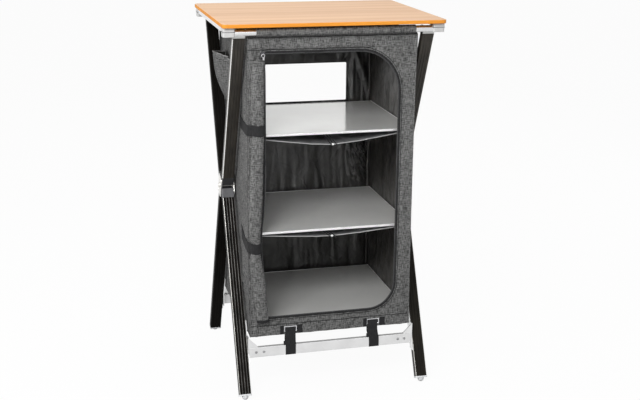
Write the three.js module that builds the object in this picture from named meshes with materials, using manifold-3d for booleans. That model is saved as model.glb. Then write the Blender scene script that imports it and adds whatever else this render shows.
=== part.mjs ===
// Folding camping cupboard: a wooden worktop on two scissor frames, with a fabric cabinet
// of three shelves hung between them. Millimetres, +Z up, +X to the right, +Y to the back.
// The origin is on the ground under the middle of the worktop.
import * as THREE from 'three';
import { mergeVertices } from 'three/addons/utils/BufferGeometryUtils.js';
import Module from 'manifold-3d';

const wasm = await Module();
wasm.setup();

// Driving dimensions
const TOP_WIDTH = 600;
const TOP_DEPTH = 490;
const TOP_HEIGHT = 1028;
const TOP_THICKNESS = 10;
const TOP_CORNER_R = 12;
const TOP_EDGE_R = 2;

const FOOT_BALL_R = 9;
const FOOT_FLAT = 0.5;
const FOOT_SPLAY = 13;

const LEG_FROM_BAR_END = 25;
const LEG_WIDTH = 33;
const LEG_DEPTH = 20;
const LEG_WALL = 2;
const LEG_CORNER_R = 2;
const LEG_FOLD_GAP = 2;
const FLUTE_WIDTH = 2.4;
const FLUTE_DEPTH = 0.9;
const FLUTE_PITCH = 8;
const FLUTE_COUNT = 3;

const BAR_TUBE_R = 9;
const BAR_TUBE_WALL = 1.5;
const BAR_END_INSET = 20;
const BAR_EDGE_INSET = 23;
const BAR_TUBE_DROP = 15;
const SADDLE_HEIGHT = 6;
const SADDLE_DEPTH = 17;

const CABINET_SIDE_GAP = 7.5;
const CABINET_BOTTOM = 164;
const FABRIC = 2.5;
const SEAT = 0.3;

// Working sizes that follow from the driving ones
const BOARD_BOTTOM = TOP_HEIGHT - TOP_THICKNESS;
const BAR_TUBE_Z = BOARD_BOTTOM - BAR_TUBE_DROP;
const BAR_TUBE_HALF = TOP_WIDTH / 2 - BAR_END_INSET;
const BAR_TUBE_Y = TOP_DEPTH / 2 - BAR_EDGE_INSET;
const FOOT_Y = TOP_DEPTH / 2 + FOOT_SPLAY;
const FOOT_Z = FOOT_BALL_R - FOOT_FLAT;
const LEG_X = BAR_TUBE_HALF - LEG_FROM_BAR_END;
const LEG_OFFSET = (LEG_DEPTH + LEG_FOLD_GAP) / 2;
const LEG_IN = LEG_X - LEG_WIDTH / 2;
const LEG_OUT = LEG_X + LEG_WIDTH / 2;
const CABINET_HALF_WIDTH = LEG_IN - CABINET_SIDE_GAP;

// The scissor in the side plane. Each frame's two half-legs are parallel and stand LEG_OFFSET
// to either side of the pivot, so the line from a foot to its top bar is turned a little from
// the legs' own tilt.
const run = BAR_TUBE_Y + FOOT_Y;
const rise = BAR_TUBE_Z - FOOT_Z;
const alongBoth = Math.sqrt(run ** 2 + rise ** 2 - (2 * LEG_OFFSET) ** 2);
const TILT = Math.atan2(run, rise) - Math.atan2(2 * LEG_OFFSET, alongBoth);
const LOWER_REACH = (FOOT_Y - LEG_OFFSET * Math.cos(TILT)) / Math.sin(TILT);
const UPPER_REACH = (BAR_TUBE_Y - LEG_OFFSET * Math.cos(TILT)) / Math.sin(TILT);
const HUB_Z = FOOT_Z + LOWER_REACH * Math.cos(TILT) - LEG_OFFSET * Math.sin(TILT);

const cupboard = new THREE.Group();
const wood = new THREE.MeshStandardMaterial({ color: 0xe9bd95, roughness: 0.5, metalness: 0 });
const blackAlloy = new THREE.MeshStandardMaterial({ color: 0x2a2622, roughness: 0.4, metalness: 0.6 });
const silver = new THREE.MeshStandardMaterial({ color: 0xd6d8da, roughness: 0.3, metalness: 0.9 });
const greyPlastic = new THREE.MeshStandardMaterial({ color: 0xb9bcbf, roughness: 0.5, metalness: 0 });
const blackPlastic = new THREE.MeshStandardMaterial({ color: 0x222224, roughness: 0.5, metalness: 0 });
const fabric = new THREE.MeshStandardMaterial({ color: 0x55585c, roughness: 0.95, metalness: 0 });
const darkFabric = new THREE.MeshStandardMaterial({ color: 0x151617, roughness: 0.9, metalness: 0 });
const shelfGrey = new THREE.MeshStandardMaterial({ color: 0xa9abad, roughness: 0.4, metalness: 0.3 });

// Solids

// A closed three.js geometry as a solid that can be joined and cut.
function solidOf(geometry) {
  const bare = geometry.clone();
  bare.deleteAttribute('normal');
  bare.deleteAttribute('uv');
  const merged = mergeVertices(bare);
  const mesh = new wasm.Mesh({
    numProp: 3,
    vertProperties: merged.attributes.position.array,
    triVerts: new Uint32Array(merged.index.array),
  });
  return new wasm.Manifold(mesh);
}

function geometryOf(solid) {
  const mesh = solid.getMesh();
  const geometry = new THREE.BufferGeometry();
  geometry.setAttribute('position', new THREE.BufferAttribute(new Float32Array(mesh.vertProperties), 3));
  geometry.setIndex(new THREE.BufferAttribute(new Uint32Array(mesh.triVerts), 1));
  geometry.computeVertexNormals();
  return geometry;
}

function add(parent, name, solid, material) {
  const mesh = new THREE.Mesh(geometryOf(solid), material);
  mesh.name = name;
  parent.add(mesh);
  return mesh;
}

function box(x0, x1, y0, y1, z0, z1) {
  const geometry = new THREE.BoxGeometry(Math.abs(x1 - x0), Math.abs(y1 - y0), Math.abs(z1 - z0));
  geometry.translate((x0 + x1) / 2, (y0 + y1) / 2, (z0 + z1) / 2);
  return solidOf(geometry);
}

// A flat outline in X and Y, grown upward from z0 to z1.
function plate(outline, z0, z1, holes = []) {
  const shape = new THREE.Shape(outline);
  shape.holes.push(...holes.map((points) => new THREE.Path(points)));
  const geometry = new THREE.ExtrudeGeometry(shape, { depth: z1 - z0, bevelEnabled: false });
  geometry.translate(0, 0, z0);
  return solidOf(geometry);
}

// An outline in X and Z, grown along Y from y0 to y1.
function plateAcross(outline, y0, y1, holes = []) {
  return plate(outline, -y1, -y0, holes).rotate([90, 0, 0]);
}

// An outline in Y and Z, grown along X from x0 to x1.
function plateAlong(outline, x0, x1, holes = []) {
  return plate(outline, x0, x1, holes).rotate([90, 0, 90]);
}

// A rod along X, at y and z.
function rodAlong(radius, x0, x1, y, z, sides) {
  const geometry = new THREE.CylinderGeometry(radius, radius, Math.abs(x1 - x0), sides);
  geometry.rotateZ(Math.PI / 2);
  geometry.translate((x0 + x1) / 2, y, z);
  return solidOf(geometry);
}

// Corners of a rectangle with rounded corners, as [x, y] points.
function roundedRectangle(x0, x1, y0, y1, radius, steps) {
  const [left, right, low, high] = [x0 + radius, x1 - radius, y0 + radius, y1 - radius];
  const corners = [[right, high], [left, high], [left, low], [right, low]];
  return corners.flatMap(([cx, cy], quarter) => Array.from({ length: steps + 1 }, (_, i) => {
    const angle = (quarter + i / steps) * Math.PI / 2;
    return new THREE.Vector2(cx + radius * Math.cos(angle), cy + radius * Math.sin(angle));
  }));
}

// A sheet: point(u, v) gives its face for u and v from 0 to 1, and the solid is as thick as
// the given vector.
function sheet(point, columns, rows, thick) {
  const positions = [];
  for (const side of [0, 1]) {
    for (let j = 0; j <= rows; j += 1) {
      for (let i = 0; i <= columns; i += 1) {
        const p = point(i / columns, j / rows);
        positions.push(p[0] + side * thick[0], p[1] + side * thick[1], p[2] + side * thick[2]);
      }
    }
  }
  const layer = (columns + 1) * (rows + 1);
  const at = (i, j, side) => side * layer + j * (columns + 1) + i;
  const triangles = [];
  const quad = (a, b, c, d) => triangles.push(a, b, c, a, c, d);
  for (let j = 0; j < rows; j += 1) {
    for (let i = 0; i < columns; i += 1) {
      quad(at(i, j, 1), at(i + 1, j, 1), at(i + 1, j + 1, 1), at(i, j + 1, 1));
      quad(at(i, j, 0), at(i, j + 1, 0), at(i + 1, j + 1, 0), at(i + 1, j, 0));
    }
  }
  for (let i = 0; i < columns; i += 1) {
    quad(at(i, 0, 0), at(i + 1, 0, 0), at(i + 1, 0, 1), at(i, 0, 1));
    quad(at(i + 1, rows, 0), at(i, rows, 0), at(i, rows, 1), at(i + 1, rows, 1));
  }
  for (let j = 0; j < rows; j += 1) {
    quad(at(0, j + 1, 0), at(0, j, 0), at(0, j, 1), at(0, j + 1, 1));
    quad(at(columns, j, 0), at(columns, j + 1, 0), at(columns, j + 1, 1), at(columns, j, 1));
  }
  return new wasm.Manifold(new wasm.Mesh({
    numProp: 3,
    vertProperties: new Float32Array(positions),
    triVerts: new Uint32Array(triangles),
  }));
}

const SIDES = [['left', -1], ['right', 1]];
const ENDS = [['front', -1], ['rear', 1]];

// The worktop lifts off: a bamboo board, two side rails under it and a plastic clamp at each
// corner that sits on a bar's end.
const RAIL_WIDTH = 12;
const RAIL_HEIGHT = 14;
const RAIL_INSET = 5;
const RAIL_WALL = 1.6;
const RAIL_END_Y = BAR_TUBE_Y - 2 * BAR_TUBE_R;
const CLAMP_ON_BAR = 14;
const CLAMP_PAST_BAR = 17;
const CLAMP_IN_X = BAR_TUBE_HALF - CLAMP_ON_BAR;
const CLAMP_OUT_X = BAR_TUBE_HALF + CLAMP_PAST_BAR;
const CLAMP_LIP = 4;
const CLAMP_CORNER_R = 4;
const CLAMP_BORE_DEPTH = 3;

function worktopBoard() {
  const outline = (inset) => {
    const halfX = TOP_WIDTH / 2 - inset;
    const halfY = TOP_DEPTH / 2 - inset;
    return roundedRectangle(-halfX, halfX, -halfY, halfY, TOP_CORNER_R - inset, 5);
  };
  const middle = plate(outline(0), BOARD_BOTTOM + TOP_EDGE_R, TOP_HEIGHT - TOP_EDGE_R);
  const whole = plate(outline(TOP_EDGE_R), BOARD_BOTTOM, TOP_HEIGHT);
  return wasm.Manifold.hull([middle, whole]);
}

function sideRail(side) {
  const outer = TOP_WIDTH / 2 - RAIL_INSET;
  const inner = outer - RAIL_WIDTH;
  const top = BOARD_BOTTOM - SEAT;
  const bottom = top - RAIL_HEIGHT;
  const tube = box(side * inner, side * outer, -RAIL_END_Y, RAIL_END_Y, bottom, top);
  const boreXs = [side * (inner + RAIL_WALL), side * (outer - RAIL_WALL)];
  const past = RAIL_END_Y + RAIL_WIDTH;
  const bore = box(...boreXs, -past, past, bottom + RAIL_WALL, top - RAIL_WALL);
  return tube.subtract(bore);
}

// Open on the inner side and below, so the bar's end can leave it when the frames close or
// the worktop is lifted.
function cornerClamp(side, end) {
  const bore = BAR_TUBE_R + SEAT;
  const front = BAR_TUBE_Y + bore + CLAMP_LIP;
  const back = RAIL_END_Y + SEAT;
  const top = BOARD_BOTTOM - SEAT;
  const bottom = BAR_TUBE_Z - BAR_TUBE_R;
  const outline = roundedRectangle(CLAMP_IN_X, CLAMP_OUT_X, back, front, CLAMP_CORNER_R, 3)
    .map((p) => new THREE.Vector2(side * p.x, end * p.y));
  const block = plate(side * end > 0 ? outline : outline.reverse(), bottom, top);
  const seatXs = [side * (CLAMP_IN_X - CLAMP_LIP), side * (BAR_TUBE_HALF + CLAMP_BORE_DEPTH)];
  const seatYs = [end * (back - CLAMP_LIP), end * (BAR_TUBE_Y + bore)];
  const seat = box(...seatXs, ...seatYs, bottom - CLAMP_LIP, BAR_TUBE_Z + bore);
  return block.subtract(seat);
}

// Half-legs: black anodised box sections with flutes down the front face, and a plastic cap
// at the pivot end.
const CAP_LENGTH = 26;
const CAP_START = 14;
const CAP_PLUG = 12;
const SECTION_STEPS = 2;
const LEG_FOOT_STAND = Math.sqrt((FOOT_BALL_R + SEAT) ** 2 - (LEG_DEPTH / 2 - LEG_WALL) ** 2);

function legOutline() {
  const [halfX, halfY] = [LEG_WIDTH / 2, LEG_DEPTH / 2];
  return roundedRectangle(-halfX, halfX, -halfY, halfY, LEG_CORNER_R, SECTION_STEPS);
}

// Section across a leg, with its front face on -Y.
function legSection() {
  const outline = legOutline();
  const cuts = Array.from({ length: FLUTE_COUNT }, (_, i) => (i - (FLUTE_COUNT - 1) / 2) * FLUTE_PITCH);
  const front = -LEG_DEPTH / 2;
  const last = outline.length - (SECTION_STEPS + 1);
  const flutes = cuts.flatMap((x) => [
    new THREE.Vector2(x - FLUTE_WIDTH / 2, front),
    new THREE.Vector2(x, front + FLUTE_DEPTH),
    new THREE.Vector2(x + FLUTE_WIDTH / 2, front),
  ]);
  return [...outline.slice(0, last), ...flutes, ...outline.slice(last)];
}

function legBore(clearance) {
  const half = [LEG_WIDTH / 2 - LEG_WALL - clearance, LEG_DEPTH / 2 - LEG_WALL - clearance];
  return roundedRectangle(-half[0], half[0], -half[1], half[1], LEG_CORNER_R / 2, 1);
}

// A half-leg along z from z0 to z1, in its frame's own plane, at the offset y.
function halfLeg(side, y, z0, z1) {
  return plate(legSection(), z0, z1, [legBore(0)]).translate([side * LEG_X, y, 0]);
}

function pivotCap(side, y, up) {
  const start = up > 0 ? CAP_START : -CAP_START - CAP_LENGTH;
  const cap = plate(legOutline(), start, start + CAP_LENGTH);
  const plugStart = up > 0 ? start + CAP_LENGTH : start - CAP_PLUG;
  const plug = plate(legBore(SEAT), plugStart - SEAT, plugStart + CAP_PLUG + SEAT);
  return cap.add(plug).translate([side * LEG_X, y, 0]);
}

// Hinge plates with their rivets. The outer pair joins one frame's half-legs, the inner pair the other's.
const PLATE_THICK = 2.6;
const PLATE_HALF_WIDTH = 20;
const PLATE_HALF_LENGTH = 31;
const PLATE_CORNER_R = 8;
const RIVET_R = 4;
const RIVET_HEAD = 1.4;
const RIVET_AT = 23;
const PIVOT_R = 4;
const PIVOT_HEAD_R = 7;
const PIVOT_HEAD = 2;
const RUN_GAP = 0.3;

// mirror is +1 when the upper half-leg stands on +Y of the pivot in its frame's own plane.
function hingePlate(side, mirror, nearX, farX) {
  const [halfY, halfZ] = [PLATE_HALF_WIDTH, PLATE_HALF_LENGTH];
  const outline = roundedRectangle(-halfY, halfY, -halfZ, halfZ, PLATE_CORNER_R, 3);
  const xs = [side * nearX, side * farX];
  const body = plateAlong(outline, Math.min(...xs), Math.max(...xs));
  const outward = Math.sign(farX - nearX);
  const rivetXs = [side * (nearX + farX) / 2, side * (farX + outward * RIVET_HEAD)];
  const rivets = [1, -1].map((end) => (
    rodAlong(RIVET_R, ...rivetXs, end * mirror * LEG_OFFSET, end * RIVET_AT, 10)
  ));
  const past = outward * PLATE_THICK;
  const hole = rodAlong(PIVOT_R + RUN_GAP, side * (nearX - past), side * (farX + past), 0, 0, 16);
  return wasm.Manifold.union([body, ...rivets]).subtract(hole);
}

const OUTER_PLATE_X = LEG_OUT + SEAT;
const INNER_PLATE_X = LEG_IN - SEAT;

function pivotBolt(side) {
  const outside = OUTER_PLATE_X + PLATE_THICK + RUN_GAP;
  const inside = INNER_PLATE_X - PLATE_THICK - RUN_GAP;
  const nut = CABINET_HALF_WIDTH + RUN_GAP;
  const shank = rodAlong(PIVOT_R, side * nut, side * (outside + PIVOT_HEAD), 0, 0, 16);
  const head = rodAlong(PIVOT_HEAD_R, side * outside, side * (outside + PIVOT_HEAD), 0, 0, 16);
  const washer = rodAlong(PIVOT_HEAD_R, side * nut, side * inside, 0, 0, 16);
  return wasm.Manifold.union([shank, head, washer]);
}

// A round top bar with a saddle that stands on each leg's end. y and z are the bar's place in
// its frame's own plane.
function topBar(y, z) {
  const tube = rodAlong(BAR_TUBE_R, -BAR_TUBE_HALF, BAR_TUBE_HALF, y, z, 20);
  const saddleYs = [y - SADDLE_DEPTH / 2, y + SADDLE_DEPTH / 2];
  const saddleZs = [z - BAR_TUBE_R - SADDLE_HEIGHT, z - BAR_TUBE_R / 2];
  const saddles = SIDES.map(([, side]) => box(side * LEG_IN, side * LEG_OUT, ...saddleYs, ...saddleZs));
  const past = BAR_TUBE_HALF + BAR_TUBE_R;
  const bore = rodAlong(BAR_TUBE_R - BAR_TUBE_WALL, -past, past, y, z, 16);
  return wasm.Manifold.union([tube, ...saddles]).subtract(bore);
}

// A ball glide, seated in the leg's open end and cut flat where it meets the ground.
function footBall(side, y) {
  const ball = solidOf(new THREE.SphereGeometry(FOOT_BALL_R, 16, 12).rotateX(Math.PI / 2));
  const wide = [-FOOT_BALL_R, FOOT_BALL_R];
  const ground = box(...wide, ...wide, -2 * FOOT_BALL_R, -FOOT_Z);
  return ball.subtract(ground).translate([side * LEG_X, y, FOOT_Z]);
}

// Bottom bars: flat boxes between a frame's lower half-legs, held by a plate with a gusset at
// each end.
const LOW_BAR_HEIGHT = 29;
const LOW_BAR_DEPTH = 12;
const LOW_BAR_DROP = 60;
const LOW_BAR_Z = CABINET_BOTTOM - LOW_BAR_DROP;
const LOW_BAR_WALL = 1.5;
const LOW_BAR_FORWARD = 5;
const BRACKET_THICK = 2.6;
const BRACKET_BELOW = 18;
const BRACKET_ABOVE = 68;
const BRACKET_WIDTH = 18;
const GUSSET_HEIGHT = 30;
const GUSSET_WIDTH = 27;
const GUSSET_THICK = 2.5;
const TONGUE = 44;

// How far from the pivot's plane the lower half-leg's centre line stands at height z.
function lowerLegY(z) {
  const along = (HUB_Z + LEG_OFFSET * Math.sin(TILT) - z) / Math.cos(TILT);
  return LEG_OFFSET * Math.cos(TILT) + along * Math.sin(TILT);
}

const LOW_BAR_TOP = LOW_BAR_Z + LOW_BAR_HEIGHT;
const LOW_BAR_MID_Z = LOW_BAR_Z + LOW_BAR_HEIGHT / 2;
const LOW_BAR_Y = lowerLegY(LOW_BAR_MID_Z) + LOW_BAR_FORWARD;
const LOW_BAR_HALF = INNER_PLATE_X - BRACKET_THICK - SEAT;

function bottomBar(end) {
  const y = end * LOW_BAR_Y;
  const half = LOW_BAR_DEPTH / 2;
  const bar = box(-LOW_BAR_HALF, LOW_BAR_HALF, y - half, y + half, LOW_BAR_Z, LOW_BAR_TOP);
  const past = LOW_BAR_HALF + half;
  const inside = half - LOW_BAR_WALL;
  const zs = [LOW_BAR_Z + LOW_BAR_WALL, LOW_BAR_TOP - LOW_BAR_WALL];
  return bar.subtract(box(-past, past, y - inside, y + inside, ...zs));
}

function barBracket(side, end) {
  const low = LOW_BAR_Z - BRACKET_BELOW;
  const high = LOW_BAR_TOP + BRACKET_ABOVE;
  const half = BRACKET_WIDTH / 2 / Math.cos(TILT);
  const edge = (z, shift) => new THREE.Vector2(end * (lowerLegY(z) + shift), z);
  const outline = [edge(low, -half), edge(low, half), edge(high, half), edge(high, -half)];
  const xs = [side * (INNER_PLATE_X - BRACKET_THICK), side * INNER_PLATE_X];
  const upright = plateAlong(end > 0 ? outline : outline.reverse(), Math.min(...xs), Math.max(...xs));
  const foot = LOW_BAR_TOP + SEAT;
  const gussetTop = foot + GUSSET_HEIGHT;
  const corner = [
    new THREE.Vector2(side * INNER_PLATE_X, foot),
    new THREE.Vector2(side * (LOW_BAR_HALF - GUSSET_WIDTH), foot),
    new THREE.Vector2(side * INNER_PLATE_X, gussetTop),
  ];
  const face = LOW_BAR_Y + LOW_BAR_DEPTH / 2;
  const ys = [end * (face - GUSSET_THICK), end * face];
  const gusset = plateAcross(side > 0 ? corner.reverse() : corner, Math.min(...ys), Math.max(...ys));
  const web = box(...xs, end * lowerLegY(gussetTop), end * face, LOW_BAR_Z, gussetTop);
  const inside = LOW_BAR_DEPTH / 2 - LOW_BAR_WALL - SEAT;
  const tongueXs = [side * (LOW_BAR_HALF - TONGUE), side * INNER_PLATE_X];
  const tongueYs = [end * LOW_BAR_Y - inside, end * LOW_BAR_Y + inside];
  const inset = LOW_BAR_WALL + SEAT;
  const tongue = box(...tongueXs, ...tongueYs, LOW_BAR_Z + inset, LOW_BAR_TOP - inset);
  return wasm.Manifold.union([upright, gusset, web, tongue]);
}

// The two frames. Frame A runs from the front top bar to the rear feet, frame B from the rear
// top bar to the front feet. In a frame's own plane z runs up its legs and the upper half-leg
// stands on the side that upperSide gives.
const FRAMES = [
  { tilt: TILT, upperSide: -1, upperEnd: 'front', lowerEnd: 'rear', end: 1 },
  { tilt: -TILT, upperSide: 1, upperEnd: 'rear', lowerEnd: 'front', end: -1 },
];

for (const frame of FRAMES) {
  const plane = new THREE.Group();
  plane.position.set(0, 0, HUB_Z);
  plane.rotation.set(frame.tilt, 0, 0);
  cupboard.add(plane);
  const upperY = frame.upperSide * LEG_OFFSET;
  const legStart = CAP_START + CAP_LENGTH + SEAT;
  const legTop = UPPER_REACH - BAR_TUBE_R - SADDLE_HEIGHT - SEAT;
  const legFoot = LOWER_REACH - LEG_FOOT_STAND;
  for (const [name, side] of SIDES) {
    add(plane, `upper_leg_${frame.upperEnd}_${name}`, halfLeg(side, upperY, legStart, legTop), blackAlloy);
    const lower = halfLeg(side, -upperY, -legFoot, -legStart);
    add(plane, `lower_leg_${frame.lowerEnd}_${name}`, lower, blackAlloy);
    add(plane, `upper_cap_${frame.upperEnd}_${name}`, pivotCap(side, upperY, 1), blackPlastic);
    add(plane, `lower_cap_${frame.lowerEnd}_${name}`, pivotCap(side, -upperY, -1), blackPlastic);
    if (frame.upperSide < 0) {
      const hinge = hingePlate(side, -1, OUTER_PLATE_X, OUTER_PLATE_X + PLATE_THICK);
      add(plane, `outer_hinge_plate_${name}`, hinge, silver);
    } else {
      const hinge = hingePlate(side, 1, INNER_PLATE_X, INNER_PLATE_X - PLATE_THICK);
      add(plane, `inner_hinge_plate_${name}`, hinge, silver);
      add(plane, `pivot_bolt_${name}`, pivotBolt(side), silver);
    }
    add(cupboard, `foot_${frame.lowerEnd}_${name}`, footBall(side, frame.end * FOOT_Y), greyPlastic);
    add(cupboard, `bar_bracket_${frame.lowerEnd}_${name}`, barBracket(side, frame.end), silver);
  }
  add(plane, `top_bar_${frame.upperEnd}`, topBar(upperY, UPPER_REACH), silver);
  add(cupboard, `bottom_bar_${frame.lowerEnd}`, bottomBar(frame.end), silver);
}

add(cupboard, 'worktop_board', worktopBoard(), wood);
for (const [name, side] of SIDES) {
  add(cupboard, `side_rail_${name}`, sideRail(side), silver);
  for (const [place, end] of ENDS) {
    add(cupboard, `corner_clamp_${place}_${name}`, cornerClamp(side, end), greyPlastic);
  }
}

// The fabric cabinet: front panel and rear wall hang from sleeves round the top bars, and the
// rest spans between them.
const WALL_INSET = 10;
const WALL_Y = BAR_TUBE_Y - WALL_INSET;
const SLEEVE_INSET = 15;
const SLEEVE_HALF = CABINET_HALF_WIDTH - SLEEVE_INSET;
const SLEEVE_SHIFT = 6;
const SLEEVE_THICK = 2;
const HEADER_DROP = 12;
const PANEL_TOP = BAR_TUBE_Z - HEADER_DROP;
const ROOF_Z = PANEL_TOP - FABRIC;
const DOOR_MARGINS = { left: 45, right: 51, bottom: 55, top: 43 };
const DOOR_LEFT = -CABINET_HALF_WIDTH + DOOR_MARGINS.left;
const DOOR_RIGHT = CABINET_HALF_WIDTH - DOOR_MARGINS.right;
const DOOR_BOTTOM = CABINET_BOTTOM + DOOR_MARGINS.bottom;
const DOOR_TOP = PANEL_TOP - DOOR_MARGINS.top;
const DOOR_TOP_R = 110;
const DOOR_BOTTOM_R = 75;
const WINDOW_MARGINS = { side: 77, top: 142, overShelf: 8 };
const WINDOW_HALF = CABINET_HALF_WIDTH - WINDOW_MARGINS.side;
const WINDOW_TOP = PANEL_TOP - WINDOW_MARGINS.top;
const WINDOW_R = 12;
const ARC_STEPS = 8;
const SHELF_PLACES = { lowerFromBottom: 36, middleFromLower: 258, upperFromTop: 262 };
const LOWER_SHELF = CABINET_BOTTOM + SHELF_PLACES.lowerFromBottom;
const MIDDLE_SHELF = LOWER_SHELF + SHELF_PLACES.middleFromLower;
const UPPER_SHELF = PANEL_TOP - SHELF_PLACES.upperFromTop;
const WINDOW_BOTTOM = UPPER_SHELF + WINDOW_MARGINS.overShelf;

function rectangle(x0, x1, y0, y1) {
  return [[x0, y0], [x1, y0], [x1, y1], [x0, y1]].map(([x, y]) => new THREE.Vector2(x, y));
}

// Points of a quarter circle about a centre, from one angle to the other in degrees.
function arc(cx, cy, radius, from, to) {
  return Array.from({ length: ARC_STEPS + 1 }, (_, i) => {
    const angle = THREE.MathUtils.degToRad(from + (to - from) * i / ARC_STEPS);
    return new THREE.Vector2(cx + radius * Math.cos(angle), cy + radius * Math.sin(angle));
  });
}

// A wall with the sleeve that carries it. end is -1 at the front and +1 at the back.
function hungWall(end, hole, shift) {
  const outline = rectangle(-CABINET_HALF_WIDTH, CABINET_HALF_WIDTH, CABINET_BOTTOM, PANEL_TOP);
  const ys = [end * WALL_Y, end * (WALL_Y + FABRIC)];
  const wall = plateAcross(outline, Math.min(...ys), Math.max(...ys), [hole]);
  const outer = BAR_TUBE_R + SEAT + SLEEVE_THICK;
  const x = [shift - SLEEVE_HALF, shift + SLEEVE_HALF];
  const header = box(x[0], x[1], ys[0], ys[1], PANEL_TOP - FABRIC, BAR_TUBE_Z);
  const sleeve = rodAlong(outer, x[0], x[1], end * BAR_TUBE_Y, BAR_TUBE_Z, 20);
  const bore = rodAlong(BAR_TUBE_R + SEAT, x[0] - outer, x[1] + outer, end * BAR_TUBE_Y, BAR_TUBE_Z, 20);
  return wasm.Manifold.union([wall, header, sleeve]).subtract(bore);
}

const doorHole = [
  new THREE.Vector2(DOOR_LEFT, DOOR_BOTTOM),
  ...arc(DOOR_RIGHT - DOOR_BOTTOM_R, DOOR_BOTTOM + DOOR_BOTTOM_R, DOOR_BOTTOM_R, -90, 0),
  ...arc(DOOR_RIGHT - DOOR_TOP_R, DOOR_TOP - DOOR_TOP_R, DOOR_TOP_R, 0, 90),
  new THREE.Vector2(DOOR_LEFT, DOOR_TOP),
];
const windowHole = roundedRectangle(-WINDOW_HALF, WINDOW_HALF, WINDOW_BOTTOM, WINDOW_TOP, WINDOW_R, 2);

add(cupboard, 'front_panel', hungWall(-1, doorHole, SLEEVE_SHIFT), fabric);
add(cupboard, 'rear_wall', hungWall(1, windowHole, 0), fabric);

const INSIDE_Y = WALL_Y - SEAT;
for (const [name, side] of SIDES) {
  const wallXs = [side * (CABINET_HALF_WIDTH - FABRIC), side * CABINET_HALF_WIDTH];
  const wall = box(...wallXs, -INSIDE_Y, INSIDE_Y, CABINET_BOTTOM, ROOF_Z - SEAT);
  add(cupboard, `side_wall_${name}`, wall, fabric);
}
const roof = box(-CABINET_HALF_WIDTH, CABINET_HALF_WIDTH, -INSIDE_Y, INSIDE_Y, ROOF_Z, PANEL_TOP);
add(cupboard, 'roof_panel', roof, darkFabric);

// Shelves, each a thin board, with a loose sling of cloth under the upper two.
const SHELF_END_GAP = 16;
const SHELF_DEPTH = 2 * (WALL_Y - SHELF_END_GAP);
const SHELF_THICK = 6;
const SHELF_TOPS = [['upper', UPPER_SHELF], ['middle', MIDDLE_SHELF], ['lower', LOWER_SHELF]];
const SHELF_HALF = CABINET_HALF_WIDTH - FABRIC - SEAT;
const SLING_SAG = 26;
const SLING_EDGE_DROP = 4;
const SLING_THICK = 2;
const SLING_MARGIN = 6;
const SLING_ROUNDNESS = 1.3;

// The sling droops to a shallow V at mid-width and draws up towards the walls.
function shelfSling(top) {
  const half = SHELF_HALF - SLING_MARGIN;
  const depth = SHELF_DEPTH / 2 - SLING_MARGIN;
  const underside = top - SHELF_THICK - SEAT;
  const point = (u, v) => {
    const across = 2 * u - 1;
    const sag = SLING_SAG * (1 - Math.abs(across) ** SLING_ROUNDNESS);
    const edgeDrop = SLING_EDGE_DROP * Math.sin(Math.PI * u) * Math.cos(Math.PI * v) ** 2;
    return [across * half, (2 * v - 1) * depth, underside - SLING_THICK - sag - edgeDrop];
  };
  return sheet(point, 16, 4, [0, 0, SLING_THICK]);
}

for (const [name, top] of SHELF_TOPS) {
  const board = box(-SHELF_HALF, SHELF_HALF, -SHELF_DEPTH / 2, SHELF_DEPTH / 2, top - SHELF_THICK, top);
  add(cupboard, `shelf_${name}`, board, shelfGrey);
}
for (const [name, top] of SHELF_TOPS.slice(0, -1)) {
  add(cupboard, `shelf_sling_${name}`, shelfSling(top), darkFabric);
}
const floorTop = LOWER_SHELF - SHELF_THICK - SEAT;
const floor = box(-SHELF_HALF, SHELF_HALF, -INSIDE_Y, INSIDE_Y, floorTop - FABRIC, floorTop);
add(cupboard, 'floor_panel', floor, darkFabric);

// The door, rolled up and hung at the left of its opening, drawn in where two ties go round it.
const ROLL_PLACES = { topLeft: 17, topDrop: 30, bottomLeft: 9, bottomDrop: 8 };
const ROLL_TOP = [DOOR_LEFT - ROLL_PLACES.topLeft, DOOR_TOP - ROLL_PLACES.topDrop];
const ROLL_BOTTOM = [DOOR_LEFT - ROLL_PLACES.bottomLeft, DOOR_BOTTOM - ROLL_PLACES.bottomDrop];
const ROLL_HALF_WIDTH = 19;
const ROLL_HALF_DEPTH = 10.5;
const TIE_PLACES = { fromTop: 200, fromBottom: 206 };
const ROLL_TIES = [DOOR_TOP - TIE_PLACES.fromTop, DOOR_BOTTOM + TIE_PLACES.fromBottom];
const TIE_REACH = 40;
const TIE_DRAW_SHARE = 0.16;
const ROLL_SIDES = 14;
const ROLL_RINGS = 22;

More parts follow.
